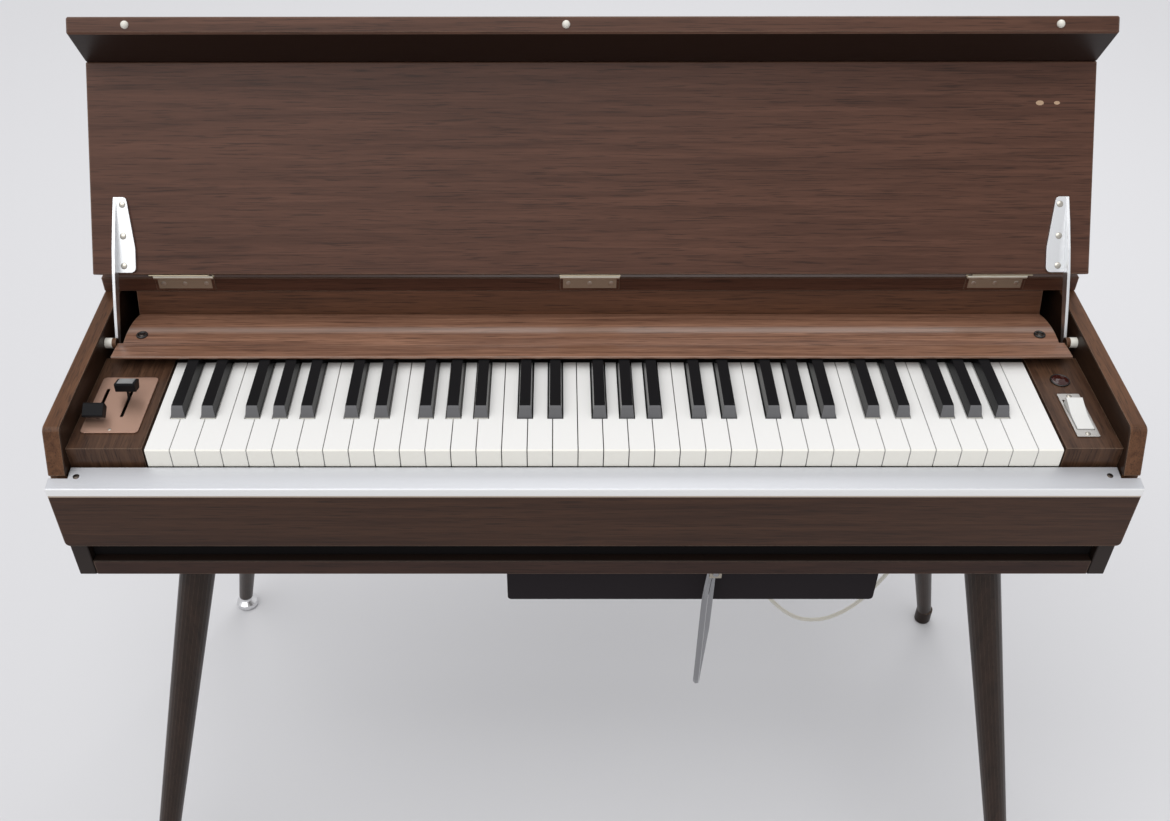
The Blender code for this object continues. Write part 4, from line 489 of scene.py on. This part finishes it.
# Lid stays: two bright steel stays, each screwed to the lid's inner face with three screws. When the lid
# is open they come to rest against pins in the cheeks, which have cream nylon bushes.
stay_thickness = 0.0028
stay_screw_x = 0.4705
bush_x = 0.4833
bush_y = 0.0025
bush_z = 0.6774
for side, label in ((-1, "left"), (1, "right")):
    moulded(label + "_lid_stay", (0.80, 0.81, 0.82), 0.36, metal=1.0)
    for k, along in enumerate((0.0715, 0.040, 0.0103)):
        spot = hinge_axis + lid_along * along + lid_out * (inner_face + stay_thickness)
        spot.x = side * stay_screw_x
        screw = dome(f"stay_screw_{label}_{k}", spot, lid_out, radius=0.0034, finish=screw_metal)
        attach(screw, "lid")
    bpy.ops.mesh.primitive_cylinder_add(vertices=32, radius=0.00535, depth=0.0072, rotation=lying,
                                        location=(side * bush_x, bush_y, bush_z))
    bush = bpy.context.object
    bush.name = "stop_bush_" + label
    bush.data.materials.append(cream)
    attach(bush, "cabinet")

# Front panel: a darker walnut board fixed across the cheeks' front edges, rounded along the bottom.
# The bare edge of its core shows as a thin pale line along the top.
veneer("front_panel", (0.074, 0.034, 0.019), (0.033, 0.0145, 0.0085), (3.9, 132, 132), 0.38)
trim_pale = small_finish("trim_pale", (0.52, 0.42, 0.33), 0.0, 0.5, 40.0)
low, high = box_of("front_panel")
trim_proud = 0.00005
trim_drop = 0.00075
trim_inset = 0.00075
trim_centre = (0, low.y - trim_proud, high.z - trim_drop)
trim_size = (high.x - low.x - 2 * trim_inset, 0.0006, 0.0016)
trim = slab("front_trim", trim_centre, trim_size, trim_pale)
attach(trim, "cabinet")

# Key slip: an angled strip of satin aluminium that caps the front panel under the keys. Its front fold is
# painted pale and made less metallic as a highlight, and a dark screw holds it down at each end.
slip_metal = 0.9
tree = moulded("key_slip", (0.62, 0.63, 0.655), 0.50, metal=slip_metal)
# Painted highlight: the front fold is turned pale and less metallic.
fold = past(tree, "True Normal", "Y", -square_on, -1)
recolour(tree, fold, (0.92, 0.92, 0.91))
fold_metal = 0.25
less_metal = new_node(tree, "MapRange", {"To Min": slip_metal, "To Max": fold_metal})
wire(tree, (fold, less_metal.inputs["Value"]),
     (less_metal.outputs[0], tree.nodes["Principled BSDF"].inputs["Metallic"]))
slip_screw_z = 0.6428
slip_facing = (0, -0.15, 1)
for label, x, y in (("left", -0.478, -0.1566), ("right", 0.476, -0.1558)):
    screw = dome("slip_screw_" + label, (x, y, slip_screw_z), slip_facing, radius=0.0032, finish=screw_dark)
    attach(screw, "cabinet")

# Knee lever: a chromed lever on a shaft, which the player's knee pushes aside.
# It hangs from a plated steel bracket under the bottom board.
moulded("knee_lever", (0.30, 0.30, 0.31), 0.07, metal=1.0)
moulded("knee_lever_bracket", (0.40, 0.36, 0.30), 0.42, metal=1.0)

# Floor: one plain pale sheet that the organ stands on.
# It is part of the stage, not of the object.
paper = bpy.data.materials.new("pale_paper")
paper.use_nodes = True
shader = paper.node_tree.nodes["Principled BSDF"]
shader.inputs["Base Color"].default_value = (0.67, 0.67, 0.682, 1)
shader.inputs["Roughness"].default_value = 0.9
floor_clearance = 0.0005
bpy.ops.mesh.primitive_plane_add(size=12, location=(0, 0, -floor_clearance))
floor = bpy.context.object
floor.name = "floor"
floor.data.materials.append(paper)

# Lamps: soft even daylight from over the player's left shoulder, and a weak lamp from behind that
# brings out the rail's crest.
sun = bpy.data.objects.new("day_lamp", bpy.data.lights.new("day_lamp", "SUN"))
sun.data.energy = 1.75
sun.data.angle = 1.1
sun.rotation_euler = Vector((0.35, 0.55, -1.5)).to_track_quat("-Z", "Y").to_euler()
bpy.context.collection.objects.link(sun)
lamp = bpy.data.objects.new("band_lamp", bpy.data.lights.new("band_lamp", "AREA"))
lamp.data.energy = 16
lamp.data.size = 1.6
lamp.location = (0.3, 1.6, 2.3)
lamp_target = Vector((0, 0, 0.6))
lamp.rotation_euler = (lamp_target - lamp.location).to_track_quat("-Z", "Y").to_euler()
bpy.context.collection.objects.link(lamp)

# Room: even pale light on the object, and a pale grey background where the camera, gloss or clear
# pieces look straight at it.
world = bpy.data.worlds.new("room")
world.use_nodes = True
tree = world.node_tree
ambient = tree.nodes["Background"]
ambient.inputs["Color"].default_value = (0.87, 0.87, 0.90, 1)
ambient.inputs["Strength"].default_value = 0.55
backdrop = new_node(tree, "Background", {"Color": (0.64, 0.64, 0.655, 1)})
rays = new_node(tree, "LightPath")
seen_or_glossy = new_node(tree, "Math", operation="MAXIMUM")
any_view = new_node(tree, "Math", operation="MAXIMUM")
choice = new_node(tree, "MixShader")
wire(tree, (rays.outputs["Is Camera Ray"], seen_or_glossy.inputs[0]),
     (rays.outputs["Is Glossy Ray"], seen_or_glossy.inputs[1]),
     (rays.outputs["Is Transmission Ray"], any_view.inputs[1]),
     (seen_or_glossy.outputs[0], any_view.inputs[0]), (any_view.outputs[0], choice.inputs[0]),
     (ambient.outputs[0], choice.inputs[1]), (backdrop.outputs[0], choice.inputs[2]),
     (choice.outputs[0], tree.nodes["World Output"].inputs[0]))
bpy.context.scene.world = world

# Camera: at the photograph's viewpoint, in front of the organ and above it, looking down at the keys.
# Its lens, shift and turns come from a fit to corners that can be found in the photograph.
camera = bpy.data.objects.new("camera", bpy.data.cameras.new("camera"))
camera.data.sensor_width = 36.0
camera.data.lens = 37.56
camera.data.shift_x = 0.0268
stand = Matrix.Translation((-0.03466, -0.97982, 1.4140))
heading = Matrix.Rotation(math.radians(0.156), 4, "Z")
pitch = Matrix.Rotation(math.radians(49.966), 4, "X")
roll = Matrix.Rotation(math.radians(-0.124), 4, "Z")
camera.matrix_world = stand @ heading @ pitch @ roll
bpy.context.collection.objects.link(camera)
bpy.context.scene.camera = camera
bpy.context.scene.view_settings.view_transform = "Standard"
